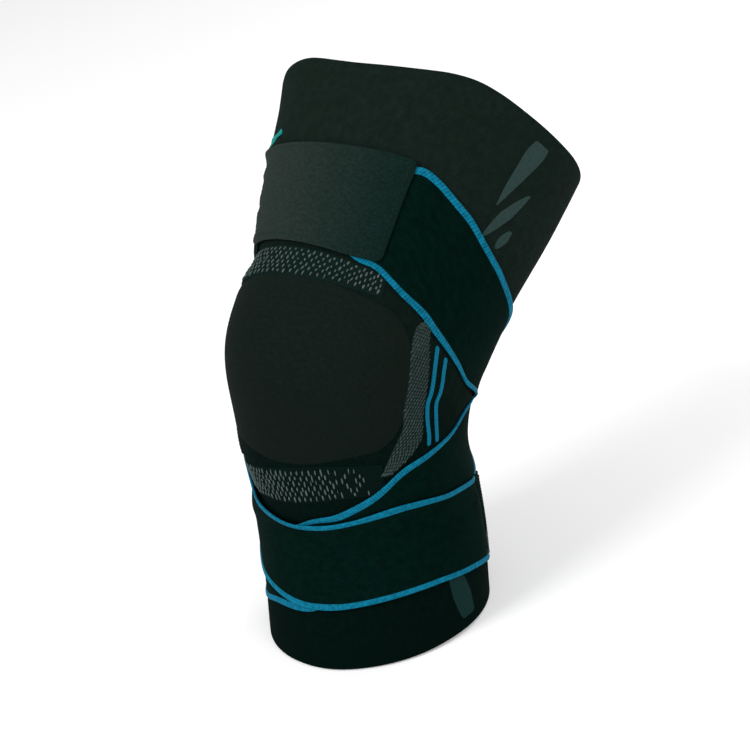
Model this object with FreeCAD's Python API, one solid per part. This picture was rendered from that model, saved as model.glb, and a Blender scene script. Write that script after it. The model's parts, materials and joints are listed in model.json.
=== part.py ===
"""Knitted knee brace with two crossing straps, worn shape, knee bent.

Frame: millimetres, +Z up. The origin is the centre of the calf rim, the leg's shin
axis runs up +Z, the kneecap faces -Y and the thigh leans back towards +Y.
A place on the sleeve is given by its height along the leg, measured from the middle
of the knee (calf negative, thigh positive), and by its angle round the leg from the
front (lateral side, +X, positive).
"""
import FreeCAD, Part
import os
from math import cos, degrees, floor, pi, radians, sin, tan

Vector = FreeCAD.Vector

# ---------------------------------------------------------------- driving sizes
CALF_LENGTH = 118.0            # middle of the knee down to the calf rim
THIGH_LENGTH = 152.0           # middle of the knee up to the thigh rim
REST_FLEXION = 47.5            # bend of the knee in the worn rest shape, degrees
BEND_LENGTH = 80.0             # length of leg axis that is curved at the knee
PIVOT_SETBACK = 18.0           # knee axis behind the crossing of the two leg axes

CALF_RIM_RADIUS = 58.5
THIGH_RIM_RADIUS = 82.5
KNEE_HALF_WIDTH = 62.0
# share of the calf (-) or thigh (+) length, then half width, depth in front and depth
# behind, as shares of the knee's half width
LEG_SECTIONS = (
    (-0.72, 0.968, 0.815, 1.032),
    (-0.43, 0.968, 0.734, 1.056),
    (-0.17, 0.976, 0.806, 1.008),
    (0.07, 1.0, 0.935, 1.024),
    (0.26, 1.016, 1.04, 1.081),
    (0.46, 1.081, 1.161, 1.121),
    (0.69, 1.161, 1.274, 1.234),
)
KNEECAP_RISE = 11.0            # how far the kneecap stands out of the front of the knee
KNEECAP_HEIGHT = 19.0          # its middle, up the leg
KNEECAP_HALF_LENGTH = 35.0
KNEECAP_HALF_ANGLE = 92.0      # degrees round the leg

SLEEVE_WALL = 2.4
SEAM_GAP = 0.4                 # between sleeve panels that bend against each other
LAYER_GAP = 0.15               # between layers sewn to each other
MOVING_GAP = 0.3               # between layers that part when the brace is opened

CUFF_HEIGHT = 16.0
GRIP_HEIGHT = 8.0
GRIP_INSET = 4.0               # grip band's lower edge in from the rim
GRIP_LEAST = 1.0               # least thickness of the silicone beads, where the sleeve is narrowest

SHELL_HALF_ANGLE = 26.5        # patella panel about the knee axis, each side of middle
STRETCH_BAND_ANGLE = 25.0      # front stretch band about the knee axis
POPLITEAL_HALF_ANGLE = 23.0    # back stretch panel about the knee axis
HUB_RADIUS = 10.0              # soft spot of the sleeve over the knee axis

STRAP_CALF_WIDTH = 45.0        # stretched narrower where it wraps the calf
STRAP_THIGH_WIDTH = 53.0
STRAP_THICKNESS = 1.2
EDGING_WIDTH = 3.0
EDGING_PROUD = 0.25            # edging stands out of the webbing's face
# runs of the straps: angle round the leg, share of the calf (-) or thigh (+) length
STRAP_A_RUN = (
    (-135, -0.665), (-90, -0.66), (-51, -0.644), (-29, -0.602), (-5, -0.585), (12, -0.525),
    (28, -0.483), (49, -0.424), (65, -0.369), (83, -0.322), (100, -0.267), (118, -0.161),
    (148, -0.03), (180, 0.08), (212, 0.19), (240, 0.29), (263, 0.325), (276, 0.352),
    (286, 0.385), (294, 0.418), (303, 0.452), (311, 0.484), (316, 0.504),
)
STRAP_B_RUN = (
    (135, -0.661), (100, -0.56), (75, -0.52), (56, -0.517), (37, -0.53), (11, -0.559),
    (-5, -0.568), (-25, -0.547), (-43, -0.517), (-60, -0.44), (-83, -0.322), (-118, -0.161),
    (-148, -0.03), (-180, 0.08), (-212, 0.19), (-240, 0.29), (-263, 0.325), (-276, 0.352),
    (-286, 0.385), (-294, 0.418), (-303, 0.452), (-313, 0.492), (-324, 0.525), (-338, 0.54),
    (-352, 0.545),
)
STRAP_B_STEPS_UP = (128, 112)          # strap B climbs onto strap A between these angles
STRAP_B_STEPS_DOWN = (-232, -262)      # and is back on the sleeve between these

FLAP_MIDDLE = 0.533            # flap's middle, share of the thigh length
FLAP_HEIGHT = 53.0
FLAP_MEDIAL_ANGLE = 42.0
FLAP_LATERAL_ANGLE = 41.0
FLAP_THICKNESS = 1.5
FLAP_HINGE_ANGLE = 0.8         # hinge line beyond the flap's medial edge, degrees
HOOK_THICKNESS = 0.9
HOOK_ANGLE = 9.0               # hook patch starts here and ends in from the flap's edge
PATCH_MARGIN = 6.0             # patches under the flap lie in from its edges
LOOP_PATCH_ANGLE = 38.0        # loop patch, medial side of the front
STITCH_INSET = 3.0
STITCH_WIDTH = 1.4
STITCH_THICKNESS = 0.4

RELIEF_THICKNESS = 0.5
# heights between which the knitted zones lie, shares of the calf or thigh length
UPPER_RELIEF = (0.257, 0.342)
LOWER_RELIEF = (-0.275, -0.161)
UPPER_RELIEF_HALF_ANGLE = 37.0
LOWER_RELIEF_HALF_ANGLE = 31.0
RING_KNIT_ANGLE = 62.0         # start of the side ring knit, from the front
RING_KNIT_SPAN = 11.0          # its width, degrees
RING_KNIT = (-0.1, 0.17)

STAY_ANGLE = 90.0
STAY_WIDTH = 6.0
STAY_THICKNESS = 1.2
STAY_RIM_GAP = 30.0            # stay ends this far in from the calf rim
STAY_THIGH_RIM_GAP = 48.0
CHANNEL_WIDTH = 14.0
CHANNEL_WALL = 0.8

STRIPE_WIDTH = 2.0
STRIPE_THICKNESS = 0.5
STRIPE_ANGLE = 75.0            # first stripe at its top
STRIPE_SPACING = 6.0           # degrees between the two stripes
STRIPE_SLANT = 6.0             # degrees that a stripe drifts back on its way down
STRIPES = (-0.1, 0.145)        # shares of the calf and thigh length

PATELLA_RING_THICKNESS = 4.0
PATELLA_RING_OUTER = 30.0      # radii of the silicone ring
PATELLA_RING_INNER = 19.0
PATELLA_RING_RAISE = 4.0       # ring's middle above the kneecap direction, degrees

ANCHOR_ANGLE = 13.0            # sewn anchor patch over the start of each strap
ANCHOR_THICKNESS = 0.8
LABEL_INSET = 40.0             # label's lower edge in from the thigh rim
LABEL_WIDTH = 30.0
LABEL_HEIGHT = 18.0
LABEL_THICKNESS = 0.4

# ---------------------------------------------------------------- shape of the leg
BEND = radians(REST_FLEXION)
HALF_BEND = BEND_LENGTH / 2
BEND_RADIUS = BEND_LENGTH / BEND


def height_of(share):
    """Height along the leg of a share of the calf (negative) or thigh length."""
    return share * (CALF_LENGTH if share < 0 else THIGH_LENGTH)


def smooth_curve(stations):
    """Cubic through (position, value) stations, each slope the mean of its neighbours."""
    at = [position for position, value in stations]
    value = [v for position, v in stations]
    last = len(at) - 1
    slope = []
    for i in range(last + 1):
        lo, hi = max(i - 1, 0), min(i + 1, last)
        slope.append((value[hi] - value[lo]) / (at[hi] - at[lo]))

    def curve(x):
        i = 0
        while i < last - 1 and x > at[i + 1]:
            i += 1
        span = at[i + 1] - at[i]
        t = (x - at[i]) / span
        if t < 0 or t > 1:
            end = 0 if t < 0 else last
            return value[end] + slope[end] * (x - at[end])
        rise = value[i + 1] - value[i]
        a = span * slope[i] - rise
        b = rise - span * slope[i + 1]
        return value[i] + t * rise + t * (1 - t) * ((1 - t) * a + t * b)

    return curve


def section_size(column, calf_rim, thigh_rim):
    """One size of the leg's section as a function of the height along the leg."""
    rows = [(-CALF_LENGTH, calf_rim)]
    rows += [(height_of(row[0]), row[column] * KNEE_HALF_WIDTH) for row in LEG_SECTIONS]
    rows.append((THIGH_LENGTH, thigh_rim))
    return smooth_curve(rows)


half_width = section_size(1, CALF_RIM_RADIUS, THIGH_RIM_RADIUS)
front_depth = section_size(2, CALF_RIM_RADIUS, THIGH_RIM_RADIUS)
back_depth = section_size(3, CALF_RIM_RADIUS, THIGH_RIM_RADIUS)


def axis_point(height):
    """Point on the leg's axis and the lean of the section there, in radians."""
    arc = min(max(height + HALF_BEND, 0.0), BEND_LENGTH)
    lean = arc / BEND_RADIUS
    beyond = max(height - HALF_BEND, 0.0)
    before = min(height + HALF_BEND, 0.0)
    y = BEND_RADIUS * (1 - cos(lean)) + beyond * sin(BEND)
    z = CALF_LENGTH - HALF_BEND + before + BEND_RADIUS * sin(lean) + beyond * cos(BEND)
    return y, z, lean


def kneecap_rise(height, angle):
    """Extra depth over the kneecap: a squared cosine both up and round the leg."""
    up = (height - KNEECAP_HEIGHT) / KNEECAP_HALF_LENGTH
    around = ((angle + 180.0) % 360.0 - 180.0) / KNEECAP_HALF_ANGLE
    if abs(up) >= 1 or abs(around) >= 1:
        return 0.0
    return KNEECAP_RISE * (cos(pi / 2 * up) * cos(pi / 2 * around)) ** 2


def skin(height, angle, lift=0.0):
    """Point at a height and angle, lifted off the sleeve's outer face."""
    y, z, lean = axis_point(height)
    turn = radians(angle)
    rise = kneecap_rise(height, angle) + lift
    depth = (front_depth if cos(turn) > 0 else back_depth)(height)
    across = (half_width(height) + rise) * sin(turn)
    ahead = (depth + rise) * cos(turn)
    return Vector(across, y - ahead * cos(lean), z + ahead * sin(lean))


def section_wire(height, lift):
    """Closed smooth outline of the leg's section, square to its axis."""
    steps = 36
    points = [skin(height, 360.0 * i / steps, lift) for i in range(steps)]
    curve = Part.BSplineCurve()
    curve.interpolate(Points=points, PeriodicFlag=True,
                      Parameters=[i / steps for i in range(steps + 1)])
    return Part.Wire(curve.toShape())


def leg_form(low, high, lift, spacing=7.0):
    """Solid leg form between two heights, its side lifted off the sleeve's outer face."""
    count = max(int(round((high - low) / spacing)), 1)
    heights = [low + (high - low) * i / count for i in range(count + 1)]
    return Part.makeLoft([section_wire(h, lift) for h in heights], True)


def tube(low, high, outer_lift, inner_lift):
    """Wall between two lifts, cut square to the leg at both ends."""
    overshoot = 1.0
    outer = leg_form(low, high, outer_lift)
    inner = leg_form(low - overshoot, high + overshoot, inner_lift)
    return outer.cut(inner)


def fractions(count):
    """Even fractions from 0 to 1, with one more close to each end to hold the ends true."""
    even = [i / count for i in range(count + 1)]
    close = 0.25 / count
    return [0.0, close] + even[1:-1] + [1.0 - close, 1.0]


def patch(place, rows, columns, inner_lift, outer_lift):
    """Closed layer on the sleeve; place(u, v), both 0 to 1, gives its height and angle.

    A lift is a number, or a function of the angle.
    """
    def face_through(lift):
        grid = []
        for u in fractions(rows):
            row = []
            for v in fractions(columns):
                height, angle = place(u, v)
                row.append(skin(height, angle, lift(angle) if callable(lift) else lift))
            grid.append(row)
        surface = Part.BSplineSurface()
        surface.interpolate(grid)
        return surface

    outer, inner = face_through(outer_lift), face_through(inner_lift)
    faces = [outer.toShape(), inner.toShape()]
    u0, u1, v0, v1 = outer.bounds()
    p0, p1, q0, q1 = inner.bounds()
    for here, there in ((u0, p0), (u1, p1)):
        faces.append(Part.makeRuledSurface(outer.uIso(here).toShape(), inner.uIso(there).toShape()))
    for here, there in ((v0, q0), (v1, q1)):
        faces.append(Part.makeRuledSurface(outer.vIso(here).toShape(), inner.vIso(there).toShape()))
    shell = Part.makeShell(faces)
    shell.sewShape()
    solid = Part.Solid(shell.Shells[0])
    if solid.Volume < 0:
        solid.reverse()
    return solid


def panel(low_edge, high_edge, start, end, inner_lift, outer_lift, across=6, step=5.0):
    """Layer from angle start to end; low_edge and high_edge give heights at an angle."""
    def place(u, v):
        angle = start + (end - start) * u
        low, high = low_edge(angle), high_edge(angle)
        return low + (high - low) * v, angle

    rows = max(int(round(abs(end - start) / step)), 4)
    return patch(place, rows, across, inner_lift, outer_lift)


def level(height):
    """Edge of a panel that stays at one height."""
    return lambda angle: height


# ---------------------------------------------------------------- knee axis and sectors
PIVOT_Y = PIVOT_SETBACK * cos(BEND / 2)
PIVOT_Z = CALF_LENGTH - HALF_BEND + BEND_RADIUS * tan(BEND / 2) - PIVOT_SETBACK * sin(BEND / 2)
FRONT_MIDDLE = REST_FLEXION / 2            # direction of the kneecap, up from -Y
BACK_MIDDLE = 180.0 + REST_FLEXION / 2
SHELL_LOW = FRONT_MIDDLE - SHELL_HALF_ANGLE
SHELL_HIGH = FRONT_MIDDLE + SHELL_HALF_ANGLE
CALF_FRONT = SHELL_LOW - STRETCH_BAND_ANGLE
THIGH_FRONT = SHELL_HIGH + STRETCH_BAND_ANGLE
THIGH_BACK = BACK_MIDDLE - POPLITEAL_HALF_ANGLE
CALF_BACK = BACK_MIDDLE + POPLITEAL_HALF_ANGLE
REACH = 3 * (CALF_LENGTH + THIGH_LENGTH)


def around_pivot(direction, distance, x=0.0):
    """Point at a distance from the knee axis, its direction measured up from -Y."""
    turn = radians(direction)
    return Vector(x, PIVOT_Y - distance * cos(turn), PIVOT_Z + distance * sin(turn))


def sector(start, end):
    """Wedge about the knee axis, half a seam gap in from both of its planes."""
    half = radians(end - start) / 2
    middle = (start + end) / 2
    apex = around_pivot(middle, SEAM_GAP / 2 / sin(half), -REACH)
    shift = apex - around_pivot(middle, 0, -REACH)
    corners = [apex]
    for i in range(5):
        corners.append(around_pivot(start + (end - start) * i / 4, REACH, -REACH) + shift)
    corners.append(apex)
    return Part.Face(Part.makePolygon(corners)).extrude(Vector(2 * REACH, 0, 0))


def hub(radius):
    """Cylinder about the knee axis."""
    return Part.makeCylinder(radius, 2 * REACH, around_pivot(0, 0, -REACH), Vector(1, 0, 0))


core = hub(HUB_RADIUS)
calf_side = sector(CALF_BACK, 360.0 + CALF_FRONT).cut(core)
thigh_side = sector(THIGH_FRONT, THIGH_BACK).cut(core)
shell_side = sector(SHELL_LOW, SHELL_HIGH).cut(core)
lower_band_side = sector(CALF_FRONT, SHELL_LOW).cut(core)
upper_band_side = sector(SHELL_HIGH, THIGH_FRONT).cut(core)
back_side = sector(THIGH_BACK, CALF_BACK).fuse(hub(HUB_RADIUS - SEAM_GAP))

nodes = {}

# ---------------------------------------------------------------- sleeve
sleeve = tube(-CALF_LENGTH + CUFF_HEIGHT, THIGH_LENGTH - CUFF_HEIGHT, 0.0, -SLEEVE_WALL)
nodes["calf_sleeve"] = sleeve.common(calf_side)
nodes["thigh_sleeve"] = sleeve.common(thigh_side)
nodes["patella_panel"] = sleeve.common(shell_side)
nodes["lower_stretch_band"] = sleeve.common(lower_band_side)
nodes["upper_stretch_band"] = sleeve.common(upper_band_side)
nodes["popliteal_panel"] = sleeve.common(back_side)

nodes["calf_cuff"] = tube(-CALF_LENGTH, -CALF_LENGTH + CUFF_HEIGHT - LAYER_GAP, 0.0, -SLEEVE_WALL)
nodes["thigh_cuff"] = tube(THIGH_LENGTH - CUFF_HEIGHT + LAYER_GAP, THIGH_LENGTH, 0.0, -SLEEVE_WALL)


# ---------------------------------------------------------------- silicone grip bands
def grip_band(low, high, bore_radius):
    """Silicone bead: fills out to the cuff's inner face, with a true round bore."""
    outer = leg_form(low, high, -SLEEVE_WALL - LAYER_GAP)
    y, z, lean = axis_point(low)
    along = Vector(0, sin(lean), cos(lean))
    start = Vector(0, y, z) - along
    return outer.cut(Part.makeCylinder(bore_radius, high - low + 2, start, along))


calf_grip_low = -CALF_LENGTH + GRIP_INSET
thigh_grip_high = THIGH_LENGTH - GRIP_INSET


def grip_bore(height):
    """Radius of a bead's bore, down to a tenth of a millimetre; height is its inner end."""
    narrowest = min(half_width(height), front_depth(height), back_depth(height))
    return floor(10 * (narrowest - SLEEVE_WALL - GRIP_LEAST)) / 10


calf_bore = grip_bore(calf_grip_low + GRIP_HEIGHT)
thigh_bore = grip_bore(thigh_grip_high - GRIP_HEIGHT)
nodes["calf_grip_band"] = grip_band(calf_grip_low, calf_grip_low + GRIP_HEIGHT, calf_bore)
nodes["thigh_grip_band"] = grip_band(thigh_grip_high - GRIP_HEIGHT, thigh_grip_high, thigh_bore)


# ---------------------------------------------------------------- straps
def raised(lift, extra):
    """Lift along a run, raised by an extra height."""
    return lambda angle: lift(angle) + extra


def strap_pieces(run, low_lift):
    """Webbing and its two edgings along a run, as (webbing, edging pair)."""
    middle = smooth_curve(sorted((angle, height_of(share)) for angle, share in run))
    start, end = run[0][0], run[-1][0]

    def edge(side, inset):
        """Height of a long edge; a climbing strap is taller on the sleeve than it is wide."""
        step = 1.0

        def height(angle):
            here = middle(angle)
            climb = (middle(angle + step) - middle(angle - step)) / (2 * step)
            arc = radians(1.0) * half_width(here)
            half = strap_width(here) / 2 - inset
            return here + side * half * (1 + (climb / arc) ** 2) ** 0.5

        return height

    top = raised(low_lift, STRAP_THICKNESS)
    proud = raised(low_lift, STRAP_THICKNESS + EDGING_PROUD)
    webbing = panel(edge(-1, EDGING_WIDTH + LAYER_GAP), edge(1, EDGING_WIDTH + LAYER_GAP),
                    start, end, low_lift, top)
    upper = panel(edge(1, EDGING_WIDTH), edge(1, 0), start, end, low_lift, proud, across=3)
    lower = panel(edge(-1, 0), edge(-1, EDGING_WIDTH), start, end, low_lift, proud, across=3)
    return webbing, Part.makeCompound([upper, lower]), (edge(-1, 0), edge(1, 0))


def strap_width(height):
    """Width of a strap at a height: narrow on the calf, wide on the thigh."""
    low, high = -HALF_BEND, HALF_BEND
    t = min(max((height - low) / (high - low), 0.0), 1.0)
    return STRAP_CALF_WIDTH + (STRAP_THIGH_WIDTH - STRAP_CALF_WIDTH) * t


def ramp(angle, start, end):
    """0 before start, 1 after end, smooth between; the angles may run down."""
    t = min(max((angle - start) / (end - start), 0.0), 1.0)
    return t * t * (3 - 2 * t)


UNDER = LAYER_GAP
OVER = UNDER + STRAP_THICKNESS + EDGING_PROUD + LAYER_GAP


def lift_a(angle):
    """Strap A lies on the sleeve all the way."""
    return UNDER


def lift_b(angle):
    """Strap B lies over strap A round the calf and behind the knee."""
    over = ramp(angle, *STRAP_B_STEPS_UP) - ramp(angle, *STRAP_B_STEPS_DOWN)
    return UNDER + (OVER - UNDER) * over


soft_sides = (back_side, lower_band_side, shell_side, upper_band_side)
smallest_scrap = 5.0                   # mm3, offcuts below this are trimmed away
anchor_lift = STRAP_THICKNESS + EDGING_PROUD + 1.5 * LAYER_GAP
for letter, run, lift in (("a", STRAP_A_RUN, lift_a), ("b", STRAP_B_RUN, lift_b)):
    webbing, edging, edges = strap_pieces(run, lift)
    for name, layer in ((f"strap_{letter}", webbing), (f"strap_{letter}_edging", edging)):
        for place, sides in (("calf", (calf_side,)), ("cross", soft_sides), ("thigh", (thigh_side,))):
            pieces = [s for side in sides for s in layer.common(side).Solids]
            pieces = [s for s in pieces if s.Volume > smallest_scrap]
            nodes[name.replace("strap_" + letter, f"strap_{letter}_{place}")] = Part.makeCompound(pieces)
    start = run[0][0]
    end = start + ANCHOR_ANGLE * (1 if run[-1][0] > start else -1)
    nodes[f"strap_{letter}_anchor"] = panel(*edges, start, end, raised(lift, anchor_lift),
                                            raised(lift, anchor_lift + ANCHOR_THICKNESS))


# ---------------------------------------------------------------- knitted zones on the sleeve
def raised_zone(shares, start, end):
    """Zone knitted slightly proud of the sleeve, between two shares of the leg's length."""
    low, high = (level(height_of(share)) for share in shares)
    return panel(low, high, start, end, LAYER_GAP, LAYER_GAP + RELIEF_THICKNESS)


nodes["upper_relief_band"] = raised_zone(UPPER_RELIEF, -UPPER_RELIEF_HALF_ANGLE, UPPER_RELIEF_HALF_ANGLE)
nodes["lower_relief_band"] = raised_zone(LOWER_RELIEF, -LOWER_RELIEF_HALF_ANGLE, LOWER_RELIEF_HALF_ANGLE)


def stripe(side, angle_at_top):
    """Thin stripe that drifts back as it runs down beside the patella panel."""
    half = degrees(STRIPE_WIDTH / 2 / half_width(0))
    low, high = (height_of(share) for share in STRIPES)

    def place(u, v):
        angle = angle_at_top + STRIPE_SLANT * (1 - u) + (2 * v - 1) * half
        return low + (high - low) * u, side * angle

    return patch(place, 8, 3, LAYER_GAP, LAYER_GAP + STRIPE_THICKNESS)


def stay_layer(side, width, low, high, inner_lift, outer_lift):
    """Long narrow layer that runs up the side of the leg."""
    half = degrees(width / 2 / half_width(0))

    def place(u, v):
        return low + (high - low) * u, side * (STAY_ANGLE + (2 * v - 1) * half)

    return patch(place, 40, 3, inner_lift, outer_lift)


stay_outer = -SLEEVE_WALL - 2 * LAYER_GAP
stay_inner = stay_outer - STAY_THICKNESS
stay_low = -CALF_LENGTH + STAY_RIM_GAP
stay_high = THIGH_LENGTH - STAY_THIGH_RIM_GAP
channel_lip = (CHANNEL_WIDTH - STAY_WIDTH) / 2
for name, side in (("lateral", 1), ("medial", -1)):
    nodes[f"{name}_ring_knit"] = raised_zone(RING_KNIT, side * RING_KNIT_ANGLE,
                                             side * (RING_KNIT_ANGLE + RING_KNIT_SPAN))
    nodes[f"{name}_stripes"] = Part.makeCompound(
        [stripe(side, STRIPE_ANGLE), stripe(side, STRIPE_ANGLE + STRIPE_SPACING)])
    nodes[f"{name}_stay"] = stay_layer(side, STAY_WIDTH, stay_low, stay_high, stay_inner, stay_outer)
    fabric = stay_layer(side, CHANNEL_WIDTH, stay_low - channel_lip, stay_high + channel_lip,
                        stay_inner - LAYER_GAP - CHANNEL_WALL, -SLEEVE_WALL - LAYER_GAP)
    pocket = stay_layer(side, STAY_WIDTH + 2 * LAYER_GAP, stay_low - LAYER_GAP, stay_high + LAYER_GAP,
                        stay_inner - LAYER_GAP, -SLEEVE_WALL)
    nodes[f"{name}_stay_channel"] = fabric.cut(pocket)

# ---------------------------------------------------------------- patella ring, label
ring_outer_lift = -SLEEVE_WALL - LAYER_GAP
ring_direction = FRONT_MIDDLE + PATELLA_RING_RAISE
ring_sheet = panel(level(-PATELLA_RING_OUTER - KNEECAP_RISE), level(PATELLA_RING_OUTER + KNEECAP_RISE),
                   -40, 40, ring_outer_lift - PATELLA_RING_THICKNESS, ring_outer_lift, across=10)
ring_start = around_pivot(ring_direction, 0)
ring_axis = around_pivot(ring_direction, 1) - ring_start
ring_disc = Part.makeCylinder(PATELLA_RING_OUTER, REACH, ring_start, ring_axis)
ring_hole = Part.makeCylinder(PATELLA_RING_INNER, REACH, ring_start, ring_axis)
nodes["patella_ring"] = ring_sheet.common(ring_disc).cut(ring_hole)

label_low = THIGH_LENGTH - LABEL_INSET
label_half = degrees(LABEL_WIDTH / 2 / back_depth(label_low))
label_lift = -SLEEVE_WALL - LAYER_GAP
nodes["blank_label"] = panel(level(label_low), level(label_low + LABEL_HEIGHT), 180 - label_half,
                             180 + label_half, label_lift - LABEL_THICKNESS, label_lift)

# ---------------------------------------------------------------- closure flap
strap_top = UNDER + STRAP_THICKNESS + EDGING_PROUD
hook_lift = strap_top + MOVING_GAP
flap_lift = hook_lift + HOOK_THICKNESS + LAYER_GAP
flap_top = flap_lift + FLAP_THICKNESS
flap_low = height_of(FLAP_MIDDLE) - FLAP_HEIGHT / 2
flap_high = flap_low + FLAP_HEIGHT


def flap_layer(margin, inner_lift, outer_lift):
    """Layer of the flap's outline, in from its edges by a margin."""
    turn = degrees(margin / half_width(flap_low))
    return panel(level(flap_low + margin), level(flap_high - margin), -FLAP_MEDIAL_ANGLE + turn,
                 FLAP_LATERAL_ANGLE - turn, inner_lift, outer_lift)


def flap_patch(start, end, inner_lift, outer_lift):
    """Patch under the flap between two angles."""
    return panel(level(flap_low + PATCH_MARGIN), level(flap_high - PATCH_MARGIN), start, end,
                 inner_lift, outer_lift)


nodes["closure_flap"] = flap_layer(0, flap_lift, flap_top)
seam = flap_layer(STITCH_INSET, flap_top + LAYER_GAP, flap_top + LAYER_GAP + STITCH_THICKNESS)
inside_seam = flap_layer(STITCH_INSET + STITCH_WIDTH, flap_top, flap_top + 2 * STITCH_THICKNESS)
nodes["flap_stitching"] = seam.cut(inside_seam)
patch_turn = degrees(PATCH_MARGIN / half_width(flap_low))
nodes["hook_patch"] = flap_patch(HOOK_ANGLE, FLAP_LATERAL_ANGLE - patch_turn, hook_lift,
                                 hook_lift + HOOK_THICKNESS)
nodes["loop_patch"] = flap_patch(-LOOP_PATCH_ANGLE, HOOK_ANGLE - patch_turn, UNDER,
                                 flap_lift - MOVING_GAP)

# ---------------------------------------------------------------- export
os.makedirs("parts", exist_ok=True)
for name, shape in nodes.items():
    solids = shape.Solids
    print(f"{name:28s} {len(solids)} solids  {shape.Volume / 1000:8.2f} cm3  valid {shape.isValid()}")
    (solids[0] if len(solids) == 1 else Part.makeCompound(solids)).exportStep(f"parts/{name}.step")

hinge_low = skin(flap_low, -FLAP_MEDIAL_ANGLE - FLAP_HINGE_ANGLE, flap_top)
hinge_high = skin(flap_high, -FLAP_MEDIAL_ANGLE - FLAP_HINGE_ANGLE, flap_top)
y, z, lean = axis_point(thigh_grip_high - GRIP_HEIGHT / 2)
print(f"knee axis y {PIVOT_Y:.3f} z {PIVOT_Z:.3f}")
print(f"flap hinge from {tuple(hinge_high)} to {tuple(hinge_low)}")
print(f"thigh grip middle y {y:.3f} z {z:.3f} lean {degrees(lean):.3f}")
print(f"grip bores {calf_bore} and {thigh_bore}")
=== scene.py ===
"""Knitted knee brace with two crossing straps: the finished surfaces of its pieces."""
import json
import math

import bmesh
import bpy
import numpy as np
from mathutils import Matrix


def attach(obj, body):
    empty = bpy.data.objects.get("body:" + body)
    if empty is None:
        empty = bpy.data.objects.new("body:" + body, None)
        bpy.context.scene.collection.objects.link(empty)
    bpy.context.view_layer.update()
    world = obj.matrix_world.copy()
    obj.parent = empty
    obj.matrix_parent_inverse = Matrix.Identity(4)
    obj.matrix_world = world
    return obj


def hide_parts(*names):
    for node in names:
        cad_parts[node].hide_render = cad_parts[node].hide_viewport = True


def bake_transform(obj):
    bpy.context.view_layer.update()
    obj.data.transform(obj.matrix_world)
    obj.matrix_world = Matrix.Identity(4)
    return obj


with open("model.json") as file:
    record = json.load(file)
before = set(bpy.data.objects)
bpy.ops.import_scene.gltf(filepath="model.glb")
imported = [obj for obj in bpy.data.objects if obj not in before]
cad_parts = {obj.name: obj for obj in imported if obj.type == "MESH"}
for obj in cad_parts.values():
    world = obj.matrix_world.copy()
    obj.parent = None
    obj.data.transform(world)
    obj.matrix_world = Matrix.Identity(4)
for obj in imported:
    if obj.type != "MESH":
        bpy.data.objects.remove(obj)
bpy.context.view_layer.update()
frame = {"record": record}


# Camera, lamps, floor and backdrop. The brace stands on its calf rim and is seen
# from the front and its lateral side, from a little above, with the camera rolled.
CAMERA_AZIMUTH = math.radians(40.67)
CAMERA_ELEVATION = math.radians(22.72)
CAMERA_ROLL = math.radians(-11.25)
CAMERA_DISTANCE = 1.2
CAMERA_TARGET = np.array([0.0, 0.0322, 0.1213])
CAMERA_LENS = 110.8


def put(name, data, place, side, rise, away):
    """Object of this data at a place, its own x, y and z along three directions."""
    made = bpy.data.objects.new(name, data)
    bpy.context.scene.collection.objects.link(made)
    made.matrix_world = Matrix(np.vstack([np.stack([side, rise, away, place], -1), [0, 0, 0, 1]]).tolist())
    return made


back = np.array([math.sin(CAMERA_AZIMUTH) * math.cos(CAMERA_ELEVATION), -math.cos(CAMERA_AZIMUTH) *
    math.cos(CAMERA_ELEVATION), math.sin(CAMERA_ELEVATION)])
level_right = np.array([math.cos(CAMERA_AZIMUTH), math.sin(CAMERA_AZIMUTH), 0.0])
level_up = np.cross(back, level_right)
camera_data = bpy.data.cameras.new("camera")
camera_data.lens, camera_data.clip_start, camera_data.clip_end = CAMERA_LENS, 0.01, 50.0
bpy.context.scene.camera = put("camera", camera_data, CAMERA_TARGET + back * CAMERA_DISTANCE, level_right *
    math.cos(CAMERA_ROLL) + level_up * math.sin(CAMERA_ROLL), level_up * math.cos(CAMERA_ROLL) - level_right *
    math.sin(CAMERA_ROLL), back)
bpy.context.scene.view_settings.view_transform = "Standard"


def lamp(name, place, aim, size, power):
    """Square soft lamp at a place, turned to face a point."""
    data = bpy.data.lights.new(name, "AREA")
    data.size, data.energy = size, power
    away = np.array(place, float) - np.array(aim, float)
    away /= np.linalg.norm(away)
    side = np.cross([0.0, 0.0, 1.0], away)
    side /= np.linalg.norm(side)
    put(name, data, place, side, np.cross(away, side), away)


for name, place, aim, size, power in (("key_lamp", (-0.5, -1.5, 1.4), (0.0, 0.02, 0.15), 0.9, 26.0),
    ("fill_lamp", (1.6, -0.7, 0.9), (0.0, 0.02, 0.15), 1.2, 11.0), ("back_lamp", (0.4, 1.7, 1.3), (0.0, 0.05, 0.15),
    1.2, 14.0)):
    lamp(name, place, aim, size, power)


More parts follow.
